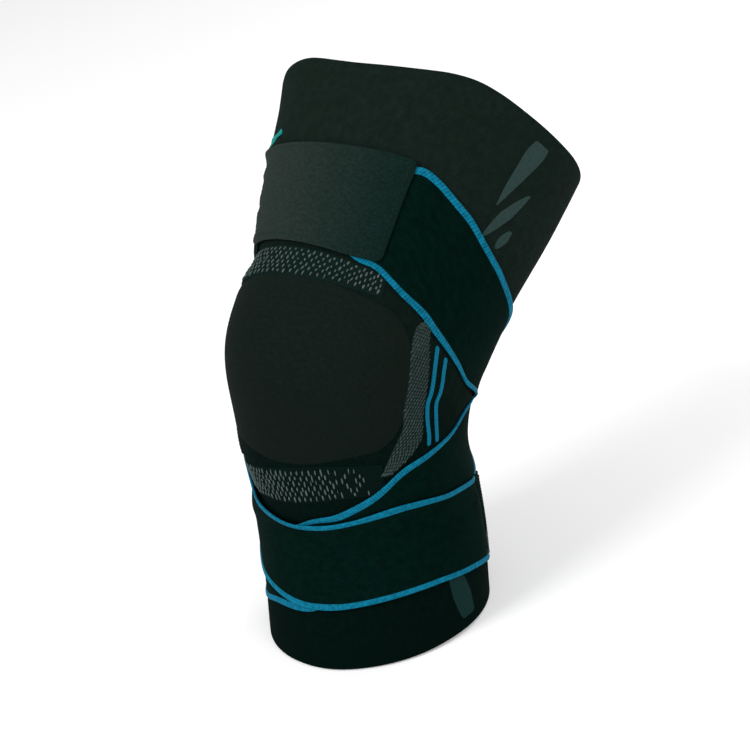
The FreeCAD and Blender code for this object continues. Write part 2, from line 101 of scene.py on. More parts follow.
class Value:
    """A shader socket; sums, products and powers of it add the Math nodes they need."""

    def __init__(self, tree, socket):
        self.tree, self.socket = tree, socket

    def math(self, operation, *terms):
        """Adds one Math node over these terms."""
        node = self.tree.nodes.new("ShaderNodeMath")
        node.operation = operation
        for slot, term in zip(node.inputs, terms):
            if isinstance(term, Value):
                self.tree.links.new(term.socket, slot)
            else:
                slot.default_value = term
        return Value(self.tree, node.outputs[0])

    def __add__(self, other):
        return self.math("ADD", self, other)

    def __radd__(self, other):
        return self.math("ADD", other, self)

    def __sub__(self, other):
        return self.math("SUBTRACT", self, other)

    def __rsub__(self, other):
        return self.math("SUBTRACT", other, self)

    def __mul__(self, other):
        return self.math("MULTIPLY", self, other)

    def __rmul__(self, other):
        return self.math("MULTIPLY", other, self)

    def sine(self):
        """Sine of the value, in turns: one full wave for each whole number."""
        return self.math("SINE", self * (2 * math.pi))

    def wave(self):
        """The sine between 0 and 1."""
        return self.sine() * 0.5 + 0.5

    def rises(self, low, high):
        """0 below low, 1 above high, straight between."""
        node = self.tree.nodes.new("ShaderNodeMapRange")
        for name, value in (("From Min", low), ("From Max", high)):
            node.inputs[name].default_value = value
        self.tree.links.new(self.socket, node.inputs["Value"])
        return Value(self.tree, node.outputs["Result"])


class Finish:
    """One material: its node tree, and one method that adds any other node."""

    def __init__(self, name, world=None):
        self.material = world or bpy.data.materials.new(name)
        self.material.use_nodes = True
        self.tree = self.material.node_tree
        self.shader = self.tree.nodes.get("Principled BSDF")

    def fill(self, socket, value):
        """Links a Value or a node's output to a socket, or sets a constant on it."""
        if isinstance(value, Value):
            self.tree.links.new(value.socket, socket)
        else:
            socket.default_value = value

    def node(self, kind, settings=None, sockets=None, output=0):
        """Adds a node: its settings first, a ramp's stops among them, then its sockets."""
        made = self.tree.nodes.new("ShaderNode" + kind)
        for name, value in (settings or {}).items():
            if name == "stops":
                ramp = made.color_ramp.elements
                while len(ramp) < len(value):
                    ramp.new(0.5)
                for stop, (position, colour) in zip(ramp, value):
                    stop.position, stop.color = position, (*colour, 1.0)
            else:
                setattr(made, name, value)
        for name, value in (sockets or {}).items():
            self.fill(made.inputs[name], value)
        return Value(self.tree, made.outputs[output])

    def surface(self, **sockets):
        """Sets or links the shader's sockets; underscores stand for spaces."""
        for name, value in sockets.items():
            self.fill(self.shader.inputs[name.replace("_", " ")], value)

    def noise(self, scale, detail=2.0, **more):
        """Clouds of noise on the piece, this many to the metre."""
        return self.node("TexNoise", None, {"Scale": scale, "Detail": detail, **more})

    def cloth(self):
        """The cloth's own two coordinates, along and across it."""
        split = self.node("SeparateXYZ", None, {"Vector": self.node("UVMap", {"uv_map": "cloth"})})
        return split, Value(self.tree, split.socket.node.outputs[1])

    def seen(self):
        """1 for rays from the camera, in reflections and through glass, 0 for plain light."""
        rays = self.tree.nodes.new("ShaderNodeLightPath").outputs
        camera_ray = Value(self.tree, rays["Is Camera Ray"])
        glossy_ray, glass_ray = (Value(self.tree, rays[name]) for name in ("Is Glossy Ray", "Is Transmission Ray"))
        return (camera_ray + glossy_ray + glass_ray).rises(0.0, 1.0)

    def blend(self, factor, first, second):
        """Colour that goes from first to second with the factor."""
        made = self.node("Mix", {"data_type": "RGBA"}, output=2)
        node = made.socket.node
        for slot, value in ((node.inputs[0], factor), (node.inputs[6], first), (node.inputs[7], second)):
            self.fill(slot, value if isinstance(value, (Value, float)) else (*value, 1.0))
        return made

    def coat(self, colour, rough, gloss, relief, strength, depth, **more):
        """Sets the surface's colour, roughness and gloss, and its relief of this depth."""
        normal = self.node("Bump", None, {"Strength": strength, "Distance": depth, "Height": relief})
        self.surface(Base_Color=colour, Roughness=rough, Specular_IOR_Level=gloss, Normal=normal, **more)
        return self


def srgb(red, green, blue):
    """Linear colour of a screen colour given as 0 to 255."""
    share = np.array([red, green, blue]) / 255.0
    return tuple(float(c) for c in np.where(share <= 0.04045, share / 12.92, ((share + 0.055) / 1.055) ** 2.4))


# The world is white to the camera and in reflections, and a plain even light otherwise.
world = bpy.data.worlds.new("studio")
bpy.context.scene.world = world
studio = Finish("studio", world)
background = studio.tree.nodes["Background"]
WORLD_LIGHT = 0.5
studio.fill(background.inputs["Strength"], studio.seen() * (1 - WORLD_LIGHT) + WORLD_LIGHT)
background.inputs["Color"].default_value = (1.0, 1.0, 1.0, 1.0)

FLOOR_HALF, FLOOR_DROP, FLOOR_GLOW = 8.0, -0.0005, 0.22
floor_mesh = bpy.data.meshes.new("floor")
floor_mesh.from_pydata([(x * FLOOR_HALF, y * FLOOR_HALF, FLOOR_DROP) for x, y in ((-1, -1), (1, -1), (1, 1),
    (-1, 1))], [], [(0, 1, 2, 3)])
floor = put("floor", floor_mesh, (0, 0, 0), *np.eye(3))
floor_finish = Finish("floor_paper")
floor_glow = floor_finish.blend(floor_finish.seen(), (0.0, 0.0, 0.0), (FLOOR_GLOW, FLOOR_GLOW, FLOOR_GLOW))
paper_grain = floor_finish.noise(40.0)
floor_finish.surface(Base_Color=(0.9, 0.9, 0.9, 1.0), Roughness=paper_grain * 0.1 + 0.85, Specular_IOR_Level=0.0,
    Emission_Color=floor_glow, Emission_Strength=1.0)
floor_mesh.materials.append(floor_finish.material)


# Knitted sleeve: one tube of fine ribbed elastic knit in the shape of a bent leg. Its
# wall is closed at the knee's middle plane, where the lower and upper halves meet.
CALF_LENGTH, THIGH_LENGTH, BEND_LENGTH = 0.118, 0.152, 0.08
REST_FLEXION = math.radians(47.5)
BEND_RADIUS = BEND_LENGTH / REST_FLEXION
CALF_RIM_RADIUS, THIGH_RIM_RADIUS = 0.0585, 0.0825
KNEE_HALF_WIDTH = 0.062
# share of the calf (-) or thigh (+) length, then half width, front and back depth over the knee's
LEG_SECTIONS = ((-0.72, 0.968, 0.815, 1.032), (-0.43, 0.968, 0.734, 1.056), (-0.17, 0.976, 0.806, 1.008),
    (0.07, 1, 0.935, 1.024), (0.26, 1.016, 1.04, 1.081), (0.46, 1.081, 1.161, 1.121), (0.69, 1.161, 1.274, 1.234))
KNEECAP_RISE, KNEECAP_HEIGHT = 0.011, 0.019
KNEECAP_HALF_LENGTH, KNEECAP_HALF_ANGLE = 0.035, 92.0
# how a worn rim waves: angle, height added; and how the calf rim flares: angle, radius added
THIGH_RIM_WAVE = ((-150, 0), (-110, 0.0012), (-80, 0.0038), (-60, 0.0044), (-45, 0.0038), (-30, 0.003),
    (-20, 0.002), (-11, 0), (-4, -0.0015), (5, -0.0025), (14, -0.0022), (24, -0.001), (31, 0.0004), (40, 0.0026),
    (49, 0.0036), (58, 0.0026), (72, 0), (89, -0.0014), (104, -0.001), (130, 0.0004))
CALF_RIM_WAVE = ((-150, 0), (-60, 0), (0, 0), (40, 0), (60, 0.0002), (76, 0.0006), (95, 0.0006), (120, 0.0003),
    (150, 0))
CALF_RIM_FLARE = ((-150, 0), (-90, 0), (-50, 0.001), (-10, 0.0032), (12, 0.0046), (30, 0.0038), (55, 0.0022),
    (76, 0.001), (120, 0), (150, 0))
RIM_WAVE_DEPTH = 0.045
# where the tight knit dips: height, angle, their spreads, depth
DIPS = ((-0.036, -54, 0.011, 38, 0.0036), (0.136, -50, 0.022, 26, 0.0012), (0.04, -48, 0.008, 30, -0.0008),
    (0.052, -52, 0.006, 24, 0.0018), (0.118, 118, 0.032, 34, -0.0018))
SLEEVE_WALL = 0.0024
CUFF_HEIGHT = 0.016
PIVOT = np.array(next(j for j in frame["record"]["behaviour"]["joints"] if j["name"] == "knee_flex_lower")["pos_m"])
KNEE_NORMAL = np.array([0.0, math.sin(REST_FLEXION / 2), math.cos(REST_FLEXION / 2)])
BEND_REACH = 0.062            # a distance either side of the knee's middle plane


def height_of(share):
    """Height along the leg of a share of the calf (negative) or thigh length."""
    return share * (CALF_LENGTH if share < 0 else THIGH_LENGTH)


def smooth_curve(rows):
    """Cubic through (position, value) rows, each slope the mean of its neighbours."""
    at, value = np.array(sorted(rows), float).T
    before = np.maximum(np.arange(len(at)) - 1, 0)
    after = np.minimum(np.arange(len(at)) + 1, len(at) - 1)
    slope = (value[after] - value[before]) / (at[after] - at[before])

    def curve(position):
        i = np.clip(np.searchsorted(at, position, side="right") - 1, 0, len(at) - 2)
        span = at[i + 1] - at[i]
        t = np.clip((position - at[i]) / span, 0.0, 1.0)
        rise = value[i + 1] - value[i]
        return value[i] + t * rise + t * (1 - t) * ((1 - t) * (span * slope[i] - rise) + t *
            (rise - span * slope[i + 1]))

    return curve


def smooth_step(value):
    """0 below 0, 1 above 1, and 3t2 - 2t3 between."""
    t = np.clip(value, 0.0, 1.0)
    return t * t * (3 - 2 * t)


def round_the_leg(rows):
    """Smooth curve of the angle through (angle, value) rows, which closes on itself."""
    rows = sorted(rows)
    return smooth_curve([(a - 360, v) for a, v in rows[-3:]] + rows + [(a + 360, v) for a, v in rows[:3]])


def section_size(column):
    """One size of the leg's section as a function of the height along the leg."""
    rows = [(-CALF_LENGTH, CALF_RIM_RADIUS), (THIGH_LENGTH, THIGH_RIM_RADIUS)]
    return smooth_curve(rows + [(height_of(row[0]), row[column] * KNEE_HALF_WIDTH) for row in LEG_SECTIONS])


half_width, front_depth, back_depth = section_size(1), section_size(2), section_size(3)


thigh_rim_wave, calf_rim_wave = round_the_leg(THIGH_RIM_WAVE), round_the_leg(CALF_RIM_WAVE)
calf_rim_flare = round_the_leg(CALF_RIM_FLARE)


def worn(angle):
    """The angle from -180 to 180."""
    return (angle + 180.0) % 360.0 - 180.0


def leg_axis(height):
    """Middle of the leg's section at a height, as y and z, and the angle it leans there."""
    arc = np.clip(height + BEND_LENGTH / 2, 0.0, BEND_LENGTH)
    lean = arc / BEND_RADIUS
    beyond = np.maximum(height - BEND_LENGTH / 2, 0.0)
    before = np.minimum(height + BEND_LENGTH / 2, 0.0)
    y = BEND_RADIUS * (1 - np.cos(lean)) + beyond * math.sin(REST_FLEXION)
    z = (CALF_LENGTH - BEND_LENGTH / 2 + before + BEND_RADIUS * np.sin(lean) + beyond * math.cos(REST_FLEXION))
    return y, z, lean


def leg_point(height, angle, lift=0.0):
    """Point of the leg at a height along it and an angle round it, lifted off the sleeve.

    across = (half width + rise) sin(angle); ahead = (depth + rise) cos(angle), leaned
    with the axis, an arc of the knee's bend between two straight lines. The rise is the
    lift, a squared cosine over the kneecap, both up and round the leg, the calf rim's
    flare and the dips, each a bell of height and angle.
    """
    height, angle, lift = np.broadcast_arrays(height * 1.0, angle, lift)
    angle = worn(angle)
    near_thigh_rim = smooth_step((height - THIGH_LENGTH) / RIM_WAVE_DEPTH + 1)
    near_calf_rim = smooth_step(1 - (height + CALF_LENGTH) / RIM_WAVE_DEPTH)
    height = height + near_thigh_rim * thigh_rim_wave(angle) + near_calf_rim * calf_rim_wave(angle)
    y, z, lean = leg_axis(height)
    up_leg = np.clip((height - KNEECAP_HEIGHT) / KNEECAP_HALF_LENGTH, -1, 1)
    round_leg = np.clip(angle / KNEECAP_HALF_ANGLE, -1, 1)
    rise = lift + KNEECAP_RISE * (np.cos(math.pi / 2 * up_leg) * np.cos(math.pi / 2 * round_leg)) ** 2
    rise = rise + near_calf_rim ** 2 * calf_rim_flare(angle)
    for at, around, spread, turn_spread, depth in DIPS:
        rise = rise - depth * np.exp(-((height - at) / spread) ** 2 - (worn(angle - around) / turn_spread) ** 2)
    turn = np.radians(angle)
    depth = np.where(np.cos(turn) > 0, front_depth(height), back_depth(height))
    across = (half_width(height) + rise) * np.sin(turn)
    ahead = (depth + rise) * np.cos(turn)
    return np.stack([across, y - ahead * np.cos(lean), z + ahead * np.sin(lean)], -1)


# the elastic straps and the flap press the soft knit in where they lie
STRAP_A_RUN = ((-135, -0.665), (-90, -0.66), (-51, -0.644), (-29, -0.602), (-5, -0.585), (12, -0.525), (28, -0.483),
    (49, -0.424), (65, -0.369), (83, -0.322), (100, -0.267), (118, -0.161), (148, -0.03), (180, 0.08), (212, 0.19),
    (240, 0.29), (263, 0.325), (276, 0.352), (286, 0.385), (294, 0.418), (303, 0.452), (311, 0.484), (316, 0.504))
STRAP_B_RUN = ((135, -0.661), (100, -0.56), (75, -0.52), (56, -0.517), (37, -0.53), (11, -0.559), (-5, -0.568),
    (-25, -0.547), (-43, -0.517), (-60, -0.44), (-83, -0.322), *((-angle, share) for angle, share in STRAP_A_RUN if
    118 <= angle <= 303), (-313, 0.492), (-324, 0.525), (-338, 0.54), (-352, 0.545))
STRAP_CALF_WIDTH, STRAP_THIGH_WIDTH = 0.045, 0.053
STRAP_THICKNESS, EDGING_WIDTH, EDGING_PROUD = 0.0012, 0.003, 0.00035
# how each edge strays from the even width: angle, rise of the lower edge, rise of the upper edge
STRAP_A_STRAY = ((-10, 0, 0), (5, 0, -0.0005), (12, 0, -0.0012), (20, 0, -0.002), (40, 0, -0.0022),
    (50, 0, -0.0016), (60, 0, -0.0005), (75, 0, 0), (96, 0, 0), (108, -0.0045, 0), (122, -0.0105, 0),
    (145, -0.011, 0), (185, 0, 0))
STRAP_B_STRAY = ((110, 0, 0), (82, 0, 0.0005), (60, 0, 0.0016), (50, 0, 0.0016), (30, 0, 0.0006), (15, 0, -0.0002),
    (-20, 0, 0), (-35, 0, -0.0005), (-48, 0, -0.0025), (-60, 0, -0.0045), (-80, 0, -0.0035), (-110, 0, 0),
    (-235, 0, 0), (-246, -0.003, 0.0005), (-256, -0.0035, 0.0013), (-267, 0.0008, 0.002), (-276, 0.0029, 0.0018),
    (-283, 0.0036, 0.0013), (-292, 0.003, 0.0012), (-302, 0.001, 0.0008), (-309, -0.0005, 0.0006),
    (-316, -0.0012, 0), (-320, -0.0012, -0.002), (-325, -0.0018, -0.0045), (-331, -0.0028, -0.005),
    (-340, 0, -0.0056), (-352, 0, -0.0065))
LAYER_GAP = 0.00015
EDGING_SPARE = 0.00025
OVER_LIFT = 2 * LAYER_GAP + STRAP_THICKNESS + EDGING_SPARE
FLAP_LOW, FLAP_HIGH = 0.0545, 0.1075
FLAP_START, FLAP_END = -42.0, 41.0
FLAP_STACK, PRESSED_SHARE = 0.003, 0.9


def strap_edges(run, strays):
    """Heights of a strap's lower and upper edge as functions of angle and inset.

    The middle is a smooth curve through the run, then averaged with a bell of a few
    degrees. Half the width grows by the square root of 1 + (climb / arc)2 where it climbs,
    each edge strays a little from it, and insets widen by a fifth up the thigh.
    """
    rows = sorted((float(angle), height_of(share)) for angle, share in run)
    step, reach, bell = 0.5, 30.0, 4.0
    angles = np.arange(rows[0][0] - reach, rows[-1][0] + reach, step)
    curve = smooth_curve(rows)
    inside = np.clip(angles, rows[0][0], rows[-1][0])
    slope_low = (rows[1][1] - rows[0][1]) / (rows[1][0] - rows[0][0])
    slope_high = (rows[-1][1] - rows[-2][1]) / (rows[-1][0] - rows[-2][0])
    heights = (curve(inside) + slope_low * np.minimum(angles - rows[0][0], 0) + slope_high *
        np.maximum(angles - rows[-1][0], 0))
    weights = np.exp(-(np.arange(-4 * bell, 4 * bell + step, step) / bell) ** 2)
    heights = np.convolve(np.pad(heights, len(weights) // 2, "edge"), weights / weights.sum(), "valid")
    climb = np.gradient(heights, np.radians(angles)) / half_width(heights)
    taller = np.convolve(np.pad(np.sqrt(1 + climb ** 2), len(weights) // 2, "edge"), weights / weights.sum(), "valid")
    share = np.clip((heights + BEND_LENGTH / 2) / BEND_LENGTH, 0, 1)
    half = (STRAP_CALF_WIDTH + (STRAP_THIGH_WIDTH - STRAP_CALF_WIDTH) * share) / 2

    stray = {-1: smooth_curve([row[:2] for row in strays]), 1: smooth_curve([row[::2] for row in strays])}

    def edge(angle, side, inset):
        here = np.interp(angle, angles, heights) + stray[side](np.asarray(angle, float))
        inset = inset * (1 + 0.2 * np.interp(angle, angles, share))
        return here + side * (np.interp(angle, angles, half) - inset) * np.interp(angle, angles, taller)

    return edge


def coverage(at, low, high, soft):
    """1 between low and high, 0 outside, with a smooth edge a few soft widths wide."""
    return smooth_step((at - low) / (2 * soft) + 0.5) * smooth_step((high - at) / (2 * soft) + 0.5)


strap_edge = {"a": strap_edges(STRAP_A_RUN, STRAP_A_STRAY), "b": strap_edges(STRAP_B_RUN, STRAP_B_STRAY)}
press_heights, press_angles = np.linspace(-0.13, 0.165, 296), np.arange(0.0, 361.0, 1.0)
grid_height, grid_angle = np.meshgrid(press_heights, press_angles, indexing="ij")
pressed = FLAP_STACK * (coverage(grid_height, FLAP_LOW, FLAP_HIGH, 0.005) * coverage(worn(grid_angle), FLAP_START -
    4, FLAP_END + 1, 6.0))
for letter, run in (("a", STRAP_A_RUN), ("b", STRAP_B_RUN)):
    first, last = sorted((run[0][0], run[-1][0]))
    for turns in (-1, 0, 1):
        angle = grid_angle + 360.0 * turns
        here = (coverage(angle, first, last, 3.0) * coverage(grid_height, strap_edge[letter](angle, -1, 0.0),
            strap_edge[letter](angle, 1, 0.0), 0.004))
        pressed += (STRAP_THICKNESS + EDGING_SPARE) * here
pressed *= PRESSED_SHARE


def skin(height, angle, lift=0.0):
    """Point of the leg as leg_point gives it, sunk by the pressed depth, which is read
    between the points of its table by the two-way mean."""
    height, angle, lift = np.broadcast_arrays(height * 1.0, angle, lift)
    row = np.clip((height - press_heights[0]) / (press_heights[1] - press_heights[0]), 0, len(press_heights) - 1.001)
    column = (angle % 360.0) / (press_angles[1] - press_angles[0])
    i, j = row.astype(int), column.astype(int)
    p, q = row - i, column - j
    depth = ((1 - p) * ((1 - q) * pressed[i, j] + q * pressed[i, j + 1]) + p * ((1 - q) * pressed[i + 1, j] + q *
        pressed[i + 1, j + 1]))
    return leg_point(height, angle, lift - depth)


def quads(rows, columns, wrap_rows=False, wrap_columns=False):
    """Faces between neighbouring points of a rows by columns grid."""
    r = np.arange(rows if wrap_rows else rows - 1)[:, None]
    c = np.arange(columns if wrap_columns else columns - 1)[None, :]
    r, c = np.broadcast_arrays(r, c)
    r2, c2 = (r + 1) % rows, (c + 1) % columns
    return np.stack([r * columns + c, r * columns + c2, r2 * columns + c2, r2 * columns + c], -1).reshape(-1, 4)


def outward(points, faces):
    """The faces of a closed surface, turned so that they point out of it.

    Six times the volume is the sum over the faces' triangles of a . (b x c).
    """
    fan = [points[faces[:, [0, i, i + 1]]] for i in range(1, faces.shape[1] - 1)]
    volume = sum(np.einsum("ij,ij->", t[:, 0], np.cross(t[:, 1], t[:, 2])) for t in fan)
    return faces if volume > 0 else faces[:, ::-1]


def new_piece(name, parts, finish):
    """Mesh object of closed parts, each (points, faces, cloth): cloth is a UV per point."""
    points = np.concatenate([p for p, f, c in parts])
    starts = np.cumsum([0] + [len(p) for p, f, c in parts[:-1]])
    faces = [face for (p, f, c), start in zip(parts, starts) for face in (outward(p, f) + start).tolist()]
    cloth = np.concatenate([c for p, f, c in parts])
    mesh = bpy.data.meshes.new(name)
    mesh.from_pydata(points.tolist(), [], faces)
    corners = np.empty(len(mesh.loops), np.int32)
    mesh.loops.foreach_get("vertex_index", corners)
    layer = mesh.uv_layers.new(name="cloth")
    uv = cloth[corners]
    sizes = np.array([len(face) for face in faces])
    first = np.repeat(np.cumsum(sizes) - sizes, sizes)
    uv[:, 0] += np.round(uv[first, 0] - uv[:, 0])      # whole turns: no smear where a tube closes
    layer.data.foreach_set("uv", uv.astype(np.float32).ravel())
    mesh.polygons.foreach_set("use_smooth", np.ones(len(faces), bool))
    mesh.set_sharp_from_angle(angle=math.radians(60))
    mesh.materials.append(finish.material)
    made = bpy.data.objects.new(name, mesh)
    bpy.context.scene.collection.objects.link(made)
    return made


def joined(piece):
    """Merges points that lie on each other and drops the faces that this leaves flat."""
    work = bmesh.new()
    work.from_mesh(piece.data)
    bmesh.ops.remove_doubles(work, verts=work.verts, dist=1e-6)
    bmesh.ops.dissolve_degenerate(work, dist=1e-7, edges=work.edges)
    work.to_mesh(piece.data)
    work.free()
    return piece


CUT_SLACK = 1e-5                # a piece is cut only where it passes the plane by this


def settle(piece, nodes, body=None):
    """Hides the parts the piece stands for and attaches it to a body; without one, cuts it in two at the knee's
    middle plane.
    """
    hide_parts(*nodes)
    if body:
        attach(piece, body)
        return [piece]
    here = np.empty(len(piece.data.vertices) * 3)
    piece.data.vertices.foreach_get("co", here)
    side = (here.reshape(-1, 3) - PIVOT) @ KNEE_NORMAL
    halves = [piece]
    if side.min() < -CUT_SLACK and side.max() > CUT_SLACK:
        upper = piece.copy()
        upper.data = piece.data.copy()
        bpy.context.scene.collection.objects.link(upper)
        upper.name, piece.name = piece.name + "_above_knee", piece.name + "_below_knee"
        halves = [piece, upper]
        for half, keep_low in zip(halves, (True, False)):
            work = bmesh.new()
            work.from_mesh(half.data)
            cut = bmesh.ops.bisect_plane(work, geom=work.verts[:] + work.edges[:] + work.faces[:], dist=1e-7,
                plane_co=PIVOT, plane_no=KNEE_NORMAL, clear_outer=keep_low, clear_inner=not keep_low)
            rim = [e for e in cut["geom_cut"] if isinstance(e, bmesh.types.BMEdge)]
            lids = bmesh.ops.holes_fill(work, edges=rim, sides=0)["faces"]
            for edge in rim:
                edge.smooth = False
            bmesh.ops.triangulate(work, faces=lids)
            work.to_mesh(half.data)
            work.free()
    for half, low in zip(halves, (side.min() < -CUT_SLACK, False)):
        bodies, start, end = (("calf", "knee"), -BEND_REACH, 0.0) if low else (("knee", "thigh"), 0.0, BEND_REACH)
        tuple(PIVOT + start * KNEE_NORMAL)
        tuple(PIVOT + end * KNEE_NORMAL)
        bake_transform(half)
    return halves


def layered(name, layers, finish, nodes, body=None):
    """A piece of thin layers, merged where its points meet, then settled as settle does it."""
    return settle(joined(new_piece(name, layers, finish)), nodes, body)


CLOTH_SPECULAR = 0.012


def knit(name, dark, light, wales, course, depth, low_dark=None, low_light=None, rough=0.82):
    """Rib knit: wales is ribs round the leg, course the height of a stitch.

    Height of the yarn = |sin| of the rib count times a raised half wave per stitch, whose
    rows swing to and fro by a fifth of a rib; the hollows between are painted darker, as
    shade. With a low pair of colours, the knit goes over to it from the thigh down to the
    knee: the first pair carries a painted sheen, the low pair is painted shade.
    """
    finish = Finish(name)
    around, up = finish.cloth()
    patches = finish.noise(38.0, 3.0, Roughness=0.6)
    fibre = finish.noise(2600.0)
    stitch = (up * (1 / course)).wave()
    rib = (around * wales + stitch * 0.2).wave()
    yarn = rib * (stitch * 0.45 + 0.55)
    # painted shade: the hollows of the yarn darken the colour, mixed with random patches
    mottle_and_hollow_shade = yarn * 0.6 + patches.rises(0.35, 0.7) * 0.3
    shade = finish.blend(mottle_and_hollow_shade, dark, light)
    # painted light: lighter on the thigh as a painted sheen, going over to the darker low pair, painted shade, from
    # the knee down
    if low_dark:
        shade = finish.blend((up + patches * 0.03).rises(-0.01, 0.12), finish.blend(mottle_and_hollow_shade, low_dark, low_light),
            shade)
    return finish.coat(shade, fibre * 0.12 + rough, CLOTH_SPECULAR, yarn + fibre * 0.35, 0.5, depth)


def wall_loop(low, high, round_low, round_high, proud=0.0, rows=60):
    """Heights and lifts round the closed profile of a wall between two heights.

    Up the outer face, over the end, down the inner face and back under the other end.
    An end is half an ellipse: as high as its rounding's share of the half thickness.
    """
    middle, radius = -SLEEVE_WALL / 2, SLEEVE_WALL / 2 + proud
    heights = np.linspace(low + round_low * radius, high - round_high * radius, rows)
    turn = np.linspace(math.pi / 2, -math.pi / 2, 9)[1:-1]
    return (np.concatenate([heights, high + round_high * radius * (np.cos(turn) - 1), heights[::-1], low - round_low
        * radius * (np.cos(turn) - 1)]), np.concatenate([np.full(rows, middle + radius), middle + radius *
        np.sin(turn), np.full(rows, middle - radius), middle - radius * np.sin(turn)]))


def wall(low, high, round_low, round_high, rows, round_steps=360, proud=0.0):
    """Wall of the tube: its closed profile carried round the leg."""
    heights, lifts = wall_loop(low, high, round_low, round_high, proud, rows)
    angles = np.arange(round_steps) * 360.0 / round_steps
    points = skin(heights[:, None], angles[None, :], lifts[:, None]).reshape(-1, 3)
    cloth = np.stack(np.broadcast_arrays(angles[None, :] / 360.0, heights[:, None]), -1).reshape(-1, 2)
    return points, quads(len(heights), round_steps, True, True), cloth


# the first pair of sleeve colours carries a painted sheen on the thigh; the low pair is painted shade from the knee
# down
SLEEVE_TONES = (srgb(12, 22, 18), srgb(29, 41, 36))
SLEEVE_PAINTED_SHADE_TONES = (srgb(0, 10, 7), srgb(8, 23, 20))
sleeve_knit = knit("sleeve_knit", *SLEEVE_TONES, 420.0, 0.0009, 0.0003, *SLEEVE_PAINTED_SHADE_TONES)
SEAM_TUCK, CUFF_PROUD = 0.0012, 0.00008
settle(new_piece("sleeve_below_knee", [wall(-CALF_LENGTH + CUFF_HEIGHT - SEAM_TUCK, 0.0, 0.0, 0.0, 70)],
    sleeve_knit), ["calf_sleeve", "lower_stretch_band", "popliteal_panel"])
settle(new_piece("sleeve_above_knee", [wall(0.0, THIGH_LENGTH - CUFF_HEIGHT + SEAM_TUCK, 0.0, 0.0, 90)],
    sleeve_knit), ["thigh_sleeve", "upper_stretch_band"])


# Cuffs: the two ends of the tube, knitted double and turned in, so each ends in a round
# hem and meets the sleeve in a shallow line of stitches.
# the cuffs take the sleeve's colours, with the same painted sheen and painted shade
cuff_knit = knit("cuff_knit", *SLEEVE_TONES, 420.0, 0.0009, 0.0003, *SLEEVE_PAINTED_SHADE_TONES)
for body, low, high, round_low, round_high in (("calf", -CALF_LENGTH, -CALF_LENGTH + CUFF_HEIGHT, 1.0, 0.25),
    ("thigh", THIGH_LENGTH - CUFF_HEIGHT, THIGH_LENGTH, 0.25, 1.0)):
    settle(new_piece(f"{body}_cuff", [wall(low, high, round_low, round_high, 16, proud=CUFF_PROUD)], cuff_knit),
        [f"{body}_cuff"], body)


# Patella panel: a smooth, dense oval of knit over the kneecap, knitted into the sleeve
# and a touch proud of it.
def spread(count, length, edge):
    """Even fractions from 0 to 1, with more within an edge's width of both ends."""
    close = edge / length * (1 - np.cos(np.linspace(0, math.pi / 2, 5)[:-1]))
    inner = np.linspace(edge / length, 1 - edge / length, count)
    return np.concatenate([close, inner, 1 - close[::-1]])


def layer(place, length, width, rows, columns, inner, outer, edge, corner=0.0, ripple=None, knitted=False):
    """Closed thin layer on the leg. place(u, v), both 0 to 1, gives its heights and angles.

    The two faces meet round the rim: half their distance goes as the square root of
    1 - (1 - d/edge)2 with the distance d from the rim. Near its ends the layer narrows
    by corner - sqrt(corner2 - (corner - d)2), which rounds the corners. Its cloth is
    metres along and across it, or, knitted, turns round the leg and height.
    """
    u, v = np.meshgrid(spread(rows, length, edge), spread(columns, width, edge), indexing="ij")
    from_end = np.minimum(u, 1 - u) * length
    from_side = np.minimum(v, 1 - v) * width
    if corner:
        short = np.maximum(corner - from_end, 0.0)
        narrow = (corner - np.sqrt(corner ** 2 - short ** 2)) / width
        v = 0.5 + (v - 0.5) * (1 - 2 * narrow)
    height, angle = place(u, v)
    full = (np.sqrt(1 - (1 - np.clip(from_end / edge, 0, 1)) ** 2) * np.sqrt(1 - (1 -
        np.clip(from_side / edge, 0, 1)) ** 2))
    bottom = inner(angle) if callable(inner) else inner
    top = outer(angle) if callable(outer) else outer
    middle, half = (top + bottom) / 2, (top - bottom) / 2
    push = ripple(u, v) if ripple else 0.0
    upper = skin(height, angle, middle + push + half * full)
    lower = skin(height, angle, middle + push - half * full)[:, 1:-1][:, ::-1]
    points = np.concatenate([upper, lower], 1)
    uv = np.stack([angle / 360.0, height] if knitted else [u * length, v * width], -1)
    cloth = np.concatenate([uv, uv[:, 1:-1][:, ::-1]], 1)
    count = points.shape[1]
    return points.reshape(-1, 3), quads(points.shape[0], count, False, True), cloth.reshape(-1, 2)


def straight(low, high, start, end):
    """Place of a layer that runs level round the leg from one angle to another."""
    return lambda u, v: (low + (high - low) * v, start + (end - start) * u)


KNIT_ROOT = -0.0004            # a raised zone of the knit starts this far inside the sleeve's face


def bowed(low, high, half_angle, low_bow, high_bow):
    """Place of an upright panel whose upper and lower ends bow as a squared sine."""
    def place(u, v):
        angle = half_angle * (2 * u - 1)
        bow = np.sin(np.radians(angle) * 90.0 / half_angle) ** 2
        return (low + low_bow * bow) * (1 - v) + (high - high_bow * bow) * v, angle
    return place


PANEL_LOW, PANEL_HIGH, PANEL_HALF_ANGLE, PANEL_GIRTH = -0.0195, 0.0395, 62.0, 0.134
PANEL_LOW_BOW, PANEL_HIGH_BOW = 0.006, 0.004
# its first pair carries a painted sheen towards the thigh, its low pair is painted shade towards the calf
patella_knit = knit("patella_knit", srgb(16, 25, 21), srgb(29, 38, 34), 600.0, 0.0007, 0.0001, srgb(11, 18, 15),
    srgb(20, 28, 25), 0.74)
layered("patella_panel", [layer(bowed(PANEL_LOW, PANEL_HIGH, PANEL_HALF_ANGLE, PANEL_LOW_BOW, PANEL_HIGH_BOW),
    PANEL_GIRTH, PANEL_HIGH - PANEL_LOW, 90, 46, KNIT_ROOT, 0.0005, 0.003, 0.02, knitted=True)], patella_knit,
    ["patella_panel"])


